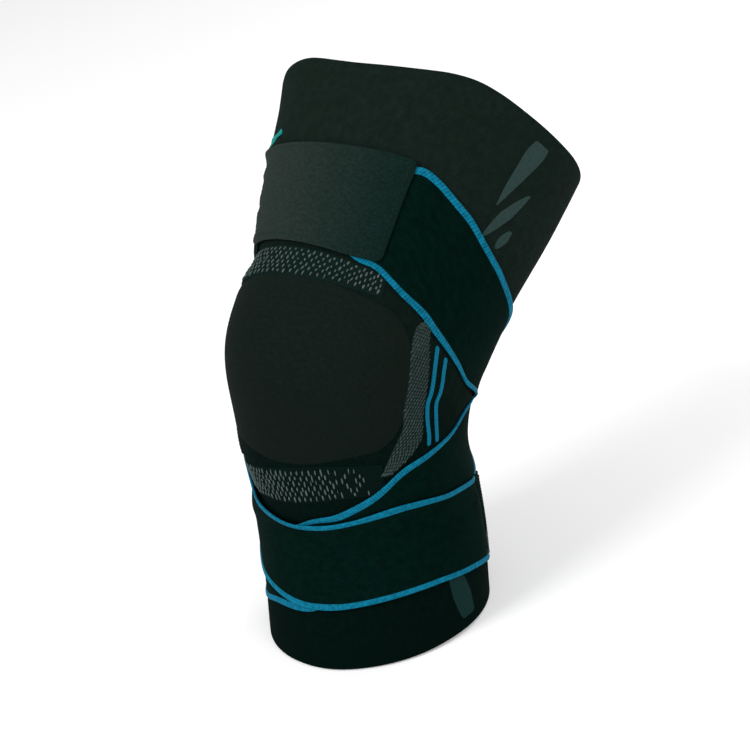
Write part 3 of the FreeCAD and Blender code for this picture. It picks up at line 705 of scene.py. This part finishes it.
# Relief bands: above and below the panel the knit thickens, and rows of short grey
# stitches lie slanted on its face, each row half a step along from the last.
def ball(sides=6, bands=4):
    """Points and triangles of a unit ball of a few flat faces, its poles up and down z."""
    drop = np.linspace(0, math.pi, bands + 1)[1:-1, None]
    turn = np.arange(sides) * 2 * math.pi / sides
    rings = np.stack(np.broadcast_arrays(np.sin(drop) * np.cos(turn), np.sin(drop) * np.sin(turn), np.cos(drop)), -1)
    points = np.concatenate([rings.reshape(-1, 3), [[0, 0, 1], [0, 0, -1]]])
    first, top, foot = np.arange(sides), (bands - 1) * sides, (bands - 1) * sides + 1
    after, last = (first + 1) % sides, (bands - 2) * sides
    strips = quads(bands - 1, sides, False, True)
    caps = np.concatenate([np.stack([np.full(sides, top), first, after], -1), np.stack(
        [np.full(sides, foot), last + after, last + first], -1)])
    return points, np.concatenate([strips[:, [0, 2, 1]], strips[:, [0, 3, 2]], caps])


def stitches(heights, angles, slants, lengths, widths, lift, proud):
    """One small ellipsoid per stitch, half sunk, its long axis slanted off the leg's length.

    up = length x cos(slant) - width y sin(slant), along = length x sin + width y cos.
    """
    shape, faces = ball()
    x, y, z = shape.T
    slants = np.radians(slants)[:, None]
    long_axis, short_axis = lengths[:, None] / 2 * x, widths[:, None] / 2 * y
    up = long_axis * np.cos(slants) - short_axis * np.sin(slants)
    along = long_axis * np.sin(slants) + short_axis * np.cos(slants)
    girth = half_width(heights)[:, None]
    lift = np.broadcast_to(lift, heights.shape)[:, None]
    points = skin(heights[:, None] + up, angles[:, None] + np.degrees(along / girth), lift + proud * z)
    faces = (faces[None] + len(shape) * np.arange(len(heights))[:, None, None]).reshape(-1, 3)
    points = points.reshape(-1, 3)
    return points, faces, np.zeros((len(points), 2))


def even_stitches(heights, angles, slants, length, width, lift, proud):
    """Stitches of one length and width."""
    count = len(heights)
    return stitches(heights, angles, np.broadcast_to(slants, count), np.full(count, length), np.full(count, width),
        lift, proud)


def rows_of_stitches(place, half_angle, rows, pitch, length, width, slant, seed, side_fade):
    """Stitches in staggered rows across a band's place; they thin out past the fade angle."""
    rng = np.random.default_rng(seed)
    row, step = np.meshgrid(np.arange(rows), np.arange(-40, 41), indexing="ij")
    angles = ((step + 0.5 * (row % 2)) * pitch).ravel()
    keep = (np.abs(angles) < half_angle) & (rng.random(len(angles)) > (angles - side_fade) / 30.0)
    angles, share = angles[keep], ((row.ravel() + 0.5) / rows)[keep]
    heights, angles = place(0.5 + 0.5 * angles / half_angle, share)
    count = len(angles)
    return stitches(heights + rng.normal(0, 0.00015, count), angles + rng.normal(0, 0.22, count), slant +
        rng.normal(0, 5, count), length * (1 + 0.16 * rng.normal(size=count)), width *
        (1 + 0.16 * rng.normal(size=count)), 0.0006, 0.0005)


def yarn(name, dark, light):
    """Thread colour that wanders from dark to light along its fibres."""
    finish = Finish(name)
    tone = finish.noise(900.0)
    patches = finish.noise(60.0, 1.0)
    shade = finish.blend((tone * 0.5 + patches * 0.5).rises(0.3, 0.7), dark, light)
    return finish.coat(shade, tone * 0.2 + 0.7 - 0.1, 0.03, tone, 0.4, 0.0001)


def relief_place(low_rows, high_rows, half_angle, margin=0.0):
    """Place of a relief band between two edges, each a smooth curve through (angle, height)."""
    low_edge, high_edge = smooth_curve(low_rows), smooth_curve(high_rows)

    def place(u, v):
        angle = half_angle * (2 * u - 1)
        low, high = low_edge(angle) - margin, high_edge(angle) + margin
        return low + (high - low) * v, angle

    return place


RELIEF_BANDS = (("upper_relief", ((-50, 0.0392), (0, 0.039), (45, 0.0395)), ((-50, 0.0548), (-15, 0.054),
    (13, 0.052), (35, 0.049), (45, 0.048)), 43, 6, 16, 3, 38), ("lower_relief", ((-50, -0.036), (-26, -0.0355),
    (3, -0.0335), (28, -0.0308), (50, -0.03)), ((-50, -0.0265), (-9, -0.023), (20, -0.0205), (50, -0.02)), 50, 6,
    -4, 4, 14))
# its first pair carries a painted sheen towards the thigh, its low pair is painted shade towards the calf
relief_ground = knit("relief_ground", srgb(12, 27, 24), srgb(28, 44, 41), 420.0, 0.0009, 0.0002, srgb(2, 13, 11),
    srgb(12, 27, 25))
relief_yarn = yarn("relief_yarn", srgb(48, 62, 60), srgb(96, 110, 107))
for name, low_rows, high_rows, half_angle, rows, slant, seed, fade in RELIEF_BANDS:
    layered(name + "_ground", [layer(relief_place(low_rows, high_rows, half_angle, 0.001), 0.11, 0.016, 60, 10,
        KNIT_ROOT, 0.0006, 0.002, knitted=True)], relief_ground, [name + "_band"])
    settle(new_piece(name + "_stitches", [rows_of_stitches(relief_place(low_rows, high_rows, half_angle - 1.5),
        half_angle - 1.5, rows, 3.4, 0.0022, 0.001, slant, seed, fade)], relief_yarn), [])


# Straps: two elastic bands, sewn to the calf and crossed behind the knee on their way to
# the thigh. The webbing is ribbed along its length and bound with blue edging.
def strap_place(edge, start, end, low_side, low_inset, high_side, high_inset):
    """Place of a strip of a strap between two insets from its edges."""
    def place(u, v):
        angle = start + (end - start) * u
        low = edge(angle, low_side, low_inset)
        return low + (edge(angle, high_side, high_inset) - low) * v, angle
    return place


def ramp(angle, start, end):
    """0 before start, 1 after end, smooth between; the angles may run down."""
    return smooth_step((angle - start) / (end - start))


def lift_a(angle):
    """Strap A lies on the sleeve all the way."""
    return np.full(np.shape(angle), LAYER_GAP)


def lift_b(angle):
    """Strap B lies over strap A round the calf and behind the knee."""
    return LAYER_GAP + OVER_LIFT * (ramp(angle, 128, 112) - ramp(angle, -232, -262))


def webbing(name, dark, light):
    """Elastic webbing: fine cords along the band, each a half sine across, bound by
    a weft that crosses them every millimetre."""
    finish = Finish(name)
    along, across = finish.cloth()
    cord = (across * (1 / 0.0011)).wave()
    weft = (along * (1 / 0.0009)).wave()
    fibre = finish.noise(2200.0)
    patches = finish.noise(30.0, 3.0)
    height = cord * 0.6 + weft * cord * 0.4
    # painted shade: the grooves between the cords and the weft are coloured darker than the raised yarn
    shade = finish.blend(height * 0.6 + patches.rises(0.35, 0.7) * 0.3, dark, light)
    return finish.coat(shade, fibre * 0.14 + 0.76, CLOTH_SPECULAR, height + fibre * 0.3, 0.45, 0.0002)


def twist(name, dark, light):
    """Edging yarn: strands laid slantwise across it, each rounded, with painted shade between."""
    finish = Finish(name)
    along, across = finish.cloth()
    strand = (along * (1 / 0.0016) + across * (1 / 0.0022)).wave()
    tone = finish.noise(55.0)
    fibre = finish.noise(2600.0, 1.0)
    # painted shade: the colour darkens between the strands
    shade = finish.blend(strand * 0.45 + tone.rises(0.3, 0.7) * 0.55, dark, light)
    return finish.coat(shade, fibre * 0.15 + 0.6, 0.04, strand + fibre * 0.3, 0.5, 0.00025)


strap_elastic = webbing("strap_elastic", srgb(0, 11, 8), srgb(5, 30, 25))
blue_yarn = twist("blue_yarn", srgb(1, 74, 94), srgb(12, 124, 158))
anchor_tape = webbing("anchor_tape", srgb(1, 15, 11), srgb(11, 34, 29))
thread_yarn = yarn("thread_yarn", srgb(10, 24, 21), srgb(26, 42, 38))
BAND_INSET, ANCHOR_ANGLE, ANCHOR_THICKNESS, ANCHOR_LIP = 0.0022, 13.0, 0.0002, 0.0006
for letter, run, lift in (("a", STRAP_A_RUN, lift_a), ("b", STRAP_B_RUN, lift_b)):
    name, edge, start, end = f"strap_{letter}", strap_edge[letter], run[0][0], run[-1][0]
    way = 1 if end > start else -1
    length = abs(math.radians(end - start)) * KNEE_HALF_WIDTH * 1.1

    def over(*rises, lift=lift):
        """Lift of a face that lies this much over the strap's underside."""
        return lambda angle: sum(rises, lift(angle))

    layered(name, [layer(strap_place(edge, start, end, -1, BAND_INSET, 1, BAND_INSET), length, STRAP_CALF_WIDTH,
        420, 16, lift, over(STRAP_THICKNESS), 0.0006)], strap_elastic,
        [f"{name}_{part}" for part in ("calf", "cross", "thigh")])
    bound = [layer(strap_place(edge, start, end, *sides), length, EDGING_WIDTH, 520, 5, lift,
        over(STRAP_THICKNESS, EDGING_PROUD), 0.0011) for sides in ((-1, 0.0, -1, EDGING_WIDTH),
        (1, EDGING_WIDTH, 1, 0.0))]
    layered(f"{name}_edging", bound, blue_yarn, [f"{name}_{part}_edging" for part in
        ("calf", "cross", "thigh")])
    stop = start + ANCHOR_ANGLE * way
    layered(f"{name}_anchor", [layer(strap_place(edge, start - way * 0.6, stop, -1, -ANCHOR_LIP, 1, -ANCHOR_LIP),
        0.015, 0.047, 16, 30, 0.0, over(STRAP_THICKNESS, EDGING_PROUD, ANCHOR_THICKNESS), 0.0008, 0.002)],
        anchor_tape, [f"{name}_anchor"])
    tack_angle, share = (x.ravel() for x in np.meshgrid(start + way * np.array([2.0, 6.2, 10.5]),
        np.linspace(0.05, 0.95, 24), indexing="ij"))
    low, high = edge(tack_angle, -1, 0.0), edge(tack_angle, 1, 0.0)
    settle(new_piece(f"{name}_anchor_tacks", [even_stitches(low + (high - low) * share, tack_angle, 90.0, 0.0022,
        0.0007, float(over(STRAP_THICKNESS, EDGING_PROUD, ANCHOR_THICKNESS)(np.array(stop))), 0.00035)],
        thread_yarn), [])


# Side ring knit: beside the patella panel the knit turns grey, with fine slanted ridges,
# and below it curves in under the kneecap. One on each side.
# angle of the zone's front and back edge at heights along the leg
RING_FRONT = ((-0.024, 48), (-0.018, 52.7), (-0.011, 57.8), (-0.005, 61.2), (0.001, 60.8), (0.012, 61.6),
    (0.027, 60.4), (0.034, 61.4), (0.038, 65.4))
RING_BACK = ((-0.024, 53.4), (-0.018, 63.9), (-0.0133, 69.9), (-0.009, 73), (0, 72.7), (0.012, 72.9), (0.022, 71.9),
    (0.029, 69.9), (0.038, 68.4))
ring_front, ring_back = smooth_curve(RING_FRONT), smooth_curve(RING_BACK)
RING_LOW, RING_HIGH = -0.024, 0.038
RIDGE_ROWS, RIDGE_COLUMNS = 44, 7
# its first pair carries a painted sheen towards the thigh, its low pair is painted shade towards the calf
ring_ground = knit("ring_ground", srgb(22, 35, 32), srgb(48, 62, 58), 300.0, 0.0009, 0.0003, srgb(12, 24, 22),
    srgb(40, 54, 52))
ring_yarn = yarn("ring_yarn", srgb(34, 50, 48), srgb(72, 86, 84))
for side, word in ((1, "lateral"), (-1, "medial")):
    def zone(u, v, side=side):
        height = RING_LOW + (RING_HIGH - RING_LOW) * u
        return height, side * (ring_front(height) + v * (ring_back(height) - ring_front(height)))

    layered(f"{word}_ring_knit", [layer(zone, 0.06, 0.013, 60, 12, KNIT_ROOT, 0.0006, 0.0018, 0.004, knitted=True)],
        ring_ground, [f"{word}_ring_knit"])
    rng = np.random.default_rng(11 + side)
    row, step = np.meshgrid((np.arange(RIDGE_ROWS) + 0.8) / (RIDGE_ROWS + 0.6), np.arange(RIDGE_COLUMNS),
        indexing="ij")
    shift = 0.5 * (np.arange(RIDGE_ROWS) % 2)[:, None]
    heights, angles = zone(row.ravel(), ((step + 0.5 + shift) / (RIDGE_COLUMNS + 0.5)).ravel())
    count = len(heights)
    settle(new_piece(f"{word}_ring_ridges", [stitches(heights, angles, side * 48.0 + rng.normal(0, 5, count), 0.002
        * (1 + 0.15 * rng.normal(size=count)), 0.0006 * (1 + 0.15 * rng.normal(size=count)), 0.00057, 0.0003)],
        ring_yarn), [])


# Side stripes: two thin blue stripes knitted in beside each ring knit. They run down the
# side of the knee with a small step half way.
STRIPE_WIDTH = 0.0028
# height along the leg and angle of each stripe's middle
STRIPE_RUNS = (((-0.0135, 77.2), (-0.009, 77.2), (-0.001, 75.3), (0.0053, 74.6), (0.0097, 75.8), (0.015, 76.1),
    (0.0223, 75.5), (0.03, 74.7)), ((-0.0125, 83.2), (-0.009, 82.9), (-0.001, 81.4), (0.0057, 80.4), (0.0103, 82),
    (0.015, 82.5), (0.0207, 82), (0.0268, 81.6)))
for side, word in ((1, "lateral"), (-1, "medial")):
    pair = []
    for run in STRIPE_RUNS:
        low, high, middle = run[0][0], run[-1][0], smooth_curve(run)

        def run_down(u, v, side=side, low=low, high=high, middle=middle):
            height = low + (high - low) * u
            return height, side * (middle(height) + np.degrees((v - 0.5) * STRIPE_WIDTH / half_width(height)))

        pair.append(layer(run_down, high - low, STRIPE_WIDTH, 70, 5, 0.0, 0.00065, 0.0009, 0.0011))
    layered(f"{word}_stripes", pair, blue_yarn, [f"{word}_stripes"])


# Grey knitted blades: plain slanted bars in the knit of the outer thigh and beside the
# calf rim, flush with the sleeve.
# the thigh blades take more of the first pair, a painted sheen; the calf blade takes the low pair, painted shade
blade_knit = knit("blade_knit", srgb(36, 54, 52), srgb(60, 78, 75), 420.0, 0.0009, 0.0002, srgb(14, 38, 37),
    srgb(32, 56, 55))


def blade(foot, top, side, width, low_point, high_point):
    """Slanted bar between two (height, angle) ends; each end narrows as a power of its distance."""
    def place(u, v):
        full = np.minimum((u + 1e-3) ** low_point, (1 - u + 1e-3) ** high_point)
        angle = foot[1] + (top[1] - foot[1]) * u + width * (v - 0.5) * np.clip(full, 0.06, 1)
        return foot[0] + (top[0] - foot[0]) * u, side * angle
    return place


# foot and top as (height, angle), width in degrees, how each end narrows
BLADES = (((0.105, 76.5), (0.144, 83), 10.5, 0.75, 0.08), ((0.088, 76.5), (0.119, 89), 8.5, 0.5, 0.5),
    ((0.0865, 85), (0.0985, 88.8), 6.5, 0.4, 0.4))
CALF_BLADE = ((-0.1115, 89), (-0.0835, 83), 15, 0.12, 0.12)
for side, word in ((1, "lateral"), (-1, "medial")):
    bars = [layer(blade(foot, top, side, width, low_point, high_point), top[0] - foot[0], 0.012, 40, 10, KNIT_ROOT,
        0.00022, 0.0006, knitted=True) for foot, top, width, low_point, high_point in BLADES]
    layered(f"{word}_thigh_blades", bars, blade_knit, [])
    foot, top, width, low_point, high_point = CALF_BLADE
    layered(f"{word}_calf_blade", [layer(blade(foot, top, side, width, low_point, high_point), top[0] - foot[0],
        0.011, 30, 8, KNIT_ROOT, 0.00032, 0.0006, knitted=True)], blade_knit, [])


# Closure flap: a soft grey strip of cloth over the ends of both straps. It is sewn down
# along its inner edge, droops at its other edges and puckers beside the seam.
FLAP_FOOT = ((-48, 0.06), (-20, 0.0575), (-2, 0.0557), (12, 0.0543), (22, 0.0532), (30, 0.0538), (42, 0.0545))
FLAP_HEAD = ((-48, 0.1092), (-40, 0.1085), (-20, 0.1063), (0, 0.1055), (20, 0.106), (31, 0.1067), (42, 0.107))
FLAP_SEWN, FLAP_TIP, FLAP_LEAN, FLAP_LENGTH, FLAP_WIDTH = -46.5, 40.0, 3.0, 0.104, 0.053
FLAP_INNER, FLAP_THICKNESS, FLAP_DROOP, FLAP_EDGE = 0.00295, 0.0013, 0.0012, 0.0055
FLAP_SEAM_DROOP, FLAP_SEAM_RAMP = 0.00115, 0.014
flap_foot, flap_head = smooth_curve(FLAP_FOOT), smooth_curve(FLAP_HEAD)


def flap_place(u, v):
    """Place on the flap: u from the sewn edge to the tip, v from its foot to its head."""
    angle = FLAP_SEWN + (FLAP_TIP + FLAP_LEAN * (v - 0.5) - FLAP_SEWN) * u
    low = flap_foot(angle)
    return low + (flap_head(angle) - low) * v, angle


def flap_ripple(u, v):
    """Rise of the flap: down towards its edges, and sine puckers that fade from the seam."""
    near = np.minimum(np.minimum(v, 1 - v) * FLAP_WIDTH, (1 - u) * FLAP_LENGTH) / FLAP_EDGE
    puckers = np.sin(2 * math.pi * (4.3 * v + 1.2 * u)) + 0.6 * np.sin(2 * math.pi * (7.1 * v - 2.0 * u))
    edge_droop = FLAP_DROOP * (1 - smooth_step(near)) ** 1.5
    seam_droop = FLAP_SEAM_DROOP * (1 - smooth_step(u * FLAP_LENGTH / FLAP_SEAM_RAMP))
    return 0.0003 * puckers * np.exp(-u / 0.12) - np.maximum(edge_droop, seam_droop)


def flap_cloth(name, left, right):
    """Smooth elastic cloth: a fine even weave, grey by the seam and near black by the tip."""
    finish = Finish(name)
    along, across = finish.cloth()
    weave = (along * (1 / 0.0008)).sine() * (across * (1 / 0.0008)).sine() * 0.5 + 0.5
    patches = finish.noise(45.0, 3.0)
    fibre = finish.noise(2400.0)
    ground = finish.blend((along + patches * 0.02).rises(0.055, 0.108), left, right)
    shade = finish.blend(weave * 0.25 + patches.rises(0.3, 0.7) * 0.3, ground, (0.0, 0.0, 0.0))
    return finish.coat(shade, fibre * 0.1 + 0.82, CLOTH_SPECULAR, weave + fibre * 0.6, 0.35, 0.00012,
        Sheen_Weight=0.03)


def hinged(piece):
    """Bakes the piece's place into its points; the two seam points worked out here are not used."""
    start, end = (skin(0.081, angle, FLAP_INNER) for angle in (FLAP_SEWN, FLAP_SEWN + 11.0))
    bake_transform(piece)


flap = joined(new_piece("closure_flap_cloth", [layer(flap_place, FLAP_LENGTH, FLAP_WIDTH, 110, 56, FLAP_INNER,
    FLAP_INNER + FLAP_THICKNESS, 0.0012, 0.004, flap_ripple)], flap_cloth("flap_fabric", srgb(39, 51, 47),
    srgb(17, 38, 34))))
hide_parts("closure_flap")
hinged(flap)

SEAM_INSET, SEAM_PITCH = 0.003, 0.0034
flap_size, around = np.array([FLAP_LENGTH, FLAP_WIDTH]), []
for begin, stop in (((0, 0), (1, 0)), ((1, 0), (1, 1)), ((1, 1), (0, 1)), ((0, 1), (0, 0))):
    begin, way = np.array(begin), np.array(stop) - np.array(begin)
    count = int(np.hypot(*(way * flap_size)) / SEAM_PITCH)
    share = (np.arange(count)[:, None] + 0.5) / count
    around.append(np.concatenate([begin + way * share, np.full((count, 1), 90.0 * abs(way[0]))], 1))
seam_u, seam_v, seam_turn = np.concatenate(around).T
seam_u = SEAM_INSET / FLAP_LENGTH + seam_u * (1 - 2 * SEAM_INSET / FLAP_LENGTH)
seam_v = SEAM_INSET / FLAP_WIDTH + seam_v * (1 - 2 * SEAM_INSET / FLAP_WIDTH)
seam_height, seam_angle = flap_place(seam_u, seam_v)
flap_thread = yarn("flap_thread", srgb(22, 36, 33), srgb(30, 45, 42))
seam = new_piece("flap_seam_stitches", [even_stitches(seam_height, seam_angle, seam_turn, 0.0025, 0.0005, FLAP_INNER
    + FLAP_THICKNESS + flap_ripple(seam_u, seam_v), 0.00018)], flap_thread)
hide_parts("flap_stitching")
hinged(seam)


# Flap tab: a short teal loop of binding that shows at the flap's upper sewn corner. It
# is folded from the edging's yarn and caught in the flap's seam.
tab_yarn = twist("tab_yarn", srgb(2, 88, 90), srgb(24, 160, 150))


TAB_FOOT, TAB_CLIMB, TAB_START, TAB_TURN, TAB_LENGTH, TAB_WIDTH = 0.1122, 0.002, -46.0, 18.0, 0.021, 0.0034


def tab_place(u, v):
    """A short bar that climbs towards the front."""
    return TAB_FOOT + TAB_CLIMB * u + TAB_WIDTH * (v - 0.5), TAB_START + TAB_TURN * u


layered("flap_tab", [layer(tab_place, TAB_LENGTH, TAB_WIDTH, 30, 6, 0.0, 0.0007, 0.0008, 0.0012, lambda u, v: 0.0003
    * np.sin(9.0 * u + 5.0 * v))], tab_yarn, [], "thigh")


# Hook and loop: a pile patch sewn to the thigh under the flap, and a patch of moulded
# hooks on the flap's underside that takes hold of it.
PATCH_LOW, PATCH_HIGH, LOOP_START, LOOP_END, LOOP_BASE, LOOP_TOP = 0.0605, 0.1015, -33.0, 3.5, 0.0001, 0.0026
loop_pile = Finish("loop_pile")
pile = loop_pile.noise(1300.0, 3.0, Roughness=0.7)
pile_patches = loop_pile.noise(120.0)
loop_pile.coat(loop_pile.blend(pile * 0.6 + pile_patches * 0.4, srgb(12, 17, 16), srgb(46, 54, 51)), 0.95,
    CLOTH_SPECULAR, pile, 0.8, 0.0006, Sheen_Weight=0.04)
layered("loop_pile_patch", [layer(straight(PATCH_LOW, PATCH_HIGH, LOOP_START, LOOP_END), 0.042, PATCH_HIGH -
    PATCH_LOW, 40, 34, LOOP_BASE, LOOP_TOP, 0.0012, 0.003)], loop_pile, ["loop_patch"], "thigh")

HOOK_START, HOOK_END, HOOK_BASE, HOOK_TOP = 9.0, 35.5, 0.00235, 0.0029


def smooth(name, dark, light, scale, gloss):
    """Plain smooth stuff, whose colour and roughness wander a little."""
    finish = Finish(name)
    scuffs = finish.noise(scale)
    finish.surface(Base_Color=finish.blend(scuffs, dark, light), Roughness=scuffs * 0.2 + 0.4,
        Specular_IOR_Level=gloss)
    return finish


hook_plastic = smooth("hook_plastic", srgb(16, 19, 19), srgb(32, 36, 35), 900.0, 0.35)
hook_row, hook_column = np.meshgrid(np.linspace(PATCH_LOW + 0.002, PATCH_HIGH - 0.002, 24),
    np.linspace(HOOK_START + 1.2, HOOK_END - 1.2, 18), indexing="ij")
hooks = new_piece("hook_tape_patch", [layer(straight(PATCH_LOW, PATCH_HIGH, HOOK_START, HOOK_END), 0.031, 0.041, 30,
    30, HOOK_BASE, HOOK_TOP, 0.0003, 0.002), even_stitches(hook_row.ravel(), hook_column.ravel(), 20.0, 0.0009,
    0.0005, HOOK_BASE, 0.00045)], hook_plastic)
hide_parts("hook_patch")
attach(hooks, "flap")


# Grip beads: silicone bonded inside each cuff. The bore is round, with waves of silicone
# that stand in towards the leg.
GRIP_WAVES, WAVE_RISE = 22, 0.0006


def grip_bead(low, high, bore, rows=26, steps=352):
    """Closed band from the sleeve's inner face to a bore of this radius.

    Radius of the inner face = bore + rise (1 - |cos(pi (3 v + sin(waves angle) / 4))|).
    """
    share = np.linspace(0, 1, rows)[:, None]
    angle = np.arange(steps)[None, :] * 360.0 / steps
    outer = skin(low + (high - low) * share, angle, -SLEEVE_WALL - CUFF_PROUD - LAYER_GAP / 2)
    y, z, lean = leg_axis(low + (high - low) * share)
    middle = np.stack(np.broadcast_arrays(0.0, y, z), -1)
    way = np.stack(np.broadcast_arrays(0.0, np.sin(lean), np.cos(lean)), -1)
    out = outer - middle
    along = np.einsum("ijk,ijk->ij", out, np.broadcast_to(way, out.shape))[..., None] * way
    across = (out - along) / np.linalg.norm(out - along, axis=-1, keepdims=True)
    wave = np.abs(np.cos(math.pi * (3 * share + 0.25 * np.sin(np.radians(GRIP_WAVES * angle)))))
    inner = middle + along + across * (bore + WAVE_RISE * (1 - wave))[..., None]
    points = np.concatenate([outer, inner[::-1]])
    cloth = np.stack(np.broadcast_arrays(angle / 360.0, np.concatenate([share, share[::-1]])), -1)
    return points.reshape(-1, 3), quads(2 * rows, steps, True, True), cloth.reshape(-1, 2)


def gel(name, dark, light, rough):
    """Soft silicone with a faint cloudiness."""
    finish = Finish(name)
    cloud = finish.noise(70.0, 3.0)
    fine = finish.noise(700.0)
    return finish.coat(finish.blend(cloud.rises(0.3, 0.7), dark, light), fine * 0.15 + rough, 0.2, fine, 0.2, 0.0002)


grip_gel = gel("grip_gel", srgb(14, 19, 19), srgb(26, 33, 32), 0.45)
for name, low, high, bore, body in (("calf_grip", -0.114, -0.106, 0.052, "calf"), ("thigh_grip", 0.14, 0.148,
    0.0763, "thigh")):
    settle(new_piece(name + "_bead", [grip_bead(low, high, bore)], grip_gel), [name + "_band"], body)


# Patella ring: a soft silicone ring on the inside of the panel, round the kneecap. Its
# outline is a circle seen square on, and it follows the knit's inner face.
RING_RAISE, RING_MIDDLE, RING_HALF = math.radians(4.0), 0.0245, 0.0055
RING_LIFT, RING_HALF_THICK = -0.00455, 0.002
ring_lean = REST_FLEXION / 2 + RING_RAISE
RING_UP = np.array([0.0, math.sin(ring_lean), math.cos(ring_lean)])


def seen_square_on(across, up, lift):
    """Height and angle at which a point of this lift lies (across, up) off the ring's axis:
    Newton's steps, with slopes from a small shift of each."""
    height, angle, shift = up + 0.007, np.degrees(across / KNEE_HALF_WIDTH), 1e-5

    def miss(height, angle):
        off = leg_point(height, angle, lift) - PIVOT
        return np.stack([off[..., 0] - across, off @ RING_UP - up], -1)

    for step in range(8):
        here = miss(height, angle)
        by_height = (miss(height + shift, angle) - here) / shift
        by_angle = (miss(height, angle + 1e3 * shift) - here) / (1e3 * shift)
        whole = by_height[..., 0] * by_angle[..., 1] - by_height[..., 1] * by_angle[..., 0]
        height = height - (here[..., 0] * by_angle[..., 1] - here[..., 1] * by_angle[..., 0]) / whole
        angle = angle - (here[..., 1] * by_height[..., 0] - here[..., 0] * by_height[..., 1]) / whole
    return height, angle


def ring_surface(around, section):
    """Points of the ring: a rounded square section, |cos|^0.6 by |sin|^0.6, carried round."""
    bulge = np.sign(np.cos(section)) * np.abs(np.cos(section)) ** 0.6
    rise = np.sign(np.sin(section)) * np.abs(np.sin(section)) ** 0.6
    radius, lift = RING_MIDDLE + RING_HALF * bulge, RING_LIFT + RING_HALF_THICK * rise
    height, angle = seen_square_on(radius * np.sin(around), radius * np.cos(around), lift)
    return leg_point(height, angle, lift)


ring_around, ring_section = np.meshgrid(np.arange(120) * 2 * math.pi / 120, np.arange(28) * 2 * math.pi / 28,
    indexing="ij")
ring = new_piece("patella_gel_ring", [(ring_surface(ring_around, ring_section).reshape(-1, 3),
    quads(120, 28, True, True), np.zeros((120 * 28, 2)))], gel("ring_gel", srgb(38, 50, 52), srgb(62, 78, 80), 0.4))
for half in settle(ring, ["patella_ring"]):
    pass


# Side stays: a flat spring-steel coil in a sewn channel on each side, inside the sleeve,
# from above the calf cuff to below the thigh cuff.
STAY_WIDTH, CHANNEL_WIDTH, STAY_LOW, STAY_HIGH, CHANNEL_LIP = 0.006, 0.014, -0.088, 0.104, 0.004
STAY_OUTER, STAY_INNER, CHANNEL_WALL = -0.0027, -0.0039, 0.0008
coil_steel = Finish("coil_steel")
coil_along, coil_across = coil_steel.cloth()
coil_turns = (coil_along * (1 / 0.0018) + coil_across * 90.0).wave()
coil_steel.surface(Base_Color=coil_steel.blend(coil_turns, srgb(84, 86, 88), srgb(178, 180, 182)), Metallic=1.0,
    Roughness=coil_turns * 0.15 + 0.28, Normal=coil_steel.node("Bump", None, {"Strength": 0.8, "Distance": 0.0005,
    "Height": coil_turns}))
channel_tape = webbing("channel_tape", srgb(10, 16, 15), srgb(28, 37, 34))


def arch(side):
    """Lift of the channel's tape: flat by its edges, and over the stay in its middle."""
    def lift(angle):
        off = np.abs(angle - side * 90.0) * math.radians(1.0) * KNEE_HALF_WIDTH
        return STAY_OUTER - (STAY_OUTER - STAY_INNER + 0.00015) * (1 - smooth_step((off - 0.0032) / 0.0026))
    return lift


for side, word in ((1, "lateral"), (-1, "medial")):
    def strip(width, low, high, side=side):
        """Place of an upright strip of even width on this side."""
        def place(u, v):
            height = low + (high - low) * u
            return height, side * 90.0 + np.degrees((v - 0.5) * width / front_depth(height))
        return place

    layered(f"{word}_coil_stay", [layer(strip(STAY_WIDTH, STAY_LOW, STAY_HIGH), STAY_HIGH - STAY_LOW, STAY_WIDTH,
        160, 8, STAY_INNER, STAY_OUTER, 0.0006, 0.0028)], coil_steel, [f"{word}_stay"])
    fabric_top = arch(side)
    layered(f"{word}_channel", [layer(strip(CHANNEL_WIDTH, STAY_LOW - CHANNEL_LIP, STAY_HIGH + CHANNEL_LIP),
        STAY_HIGH - STAY_LOW + 2 * CHANNEL_LIP, CHANNEL_WIDTH, 170, 20, lambda a, top=fabric_top: top(a) -
        CHANNEL_WALL, fabric_top, 0.0006, 0.001)], channel_tape, [f"{word}_stay_channel"])


# Label: a small blank satin label, sewn along its edges to the inside of the thigh's
# back, below the cuff.
label_satin = smooth("label_satin", srgb(30, 34, 34), srgb(50, 55, 54), 1500.0, 0.3)
LABEL_LOW, LABEL_START, LABEL_TURN = 0.112, 168.5, 23.0
LABEL_WIDTH, LABEL_LENGTH, LABEL_INNER, LABEL_OUTER = 0.018, 0.03, -0.00295, -0.00255
label, = layered("satin_label", [layer(straight(LABEL_LOW, LABEL_LOW + LABEL_WIDTH, LABEL_START, LABEL_START +
    LABEL_TURN), LABEL_LENGTH, LABEL_WIDTH, 24, 14, LABEL_INNER, LABEL_OUTER, 0.0003, 0.001)], label_satin,
    ["blank_label"], "thigh")
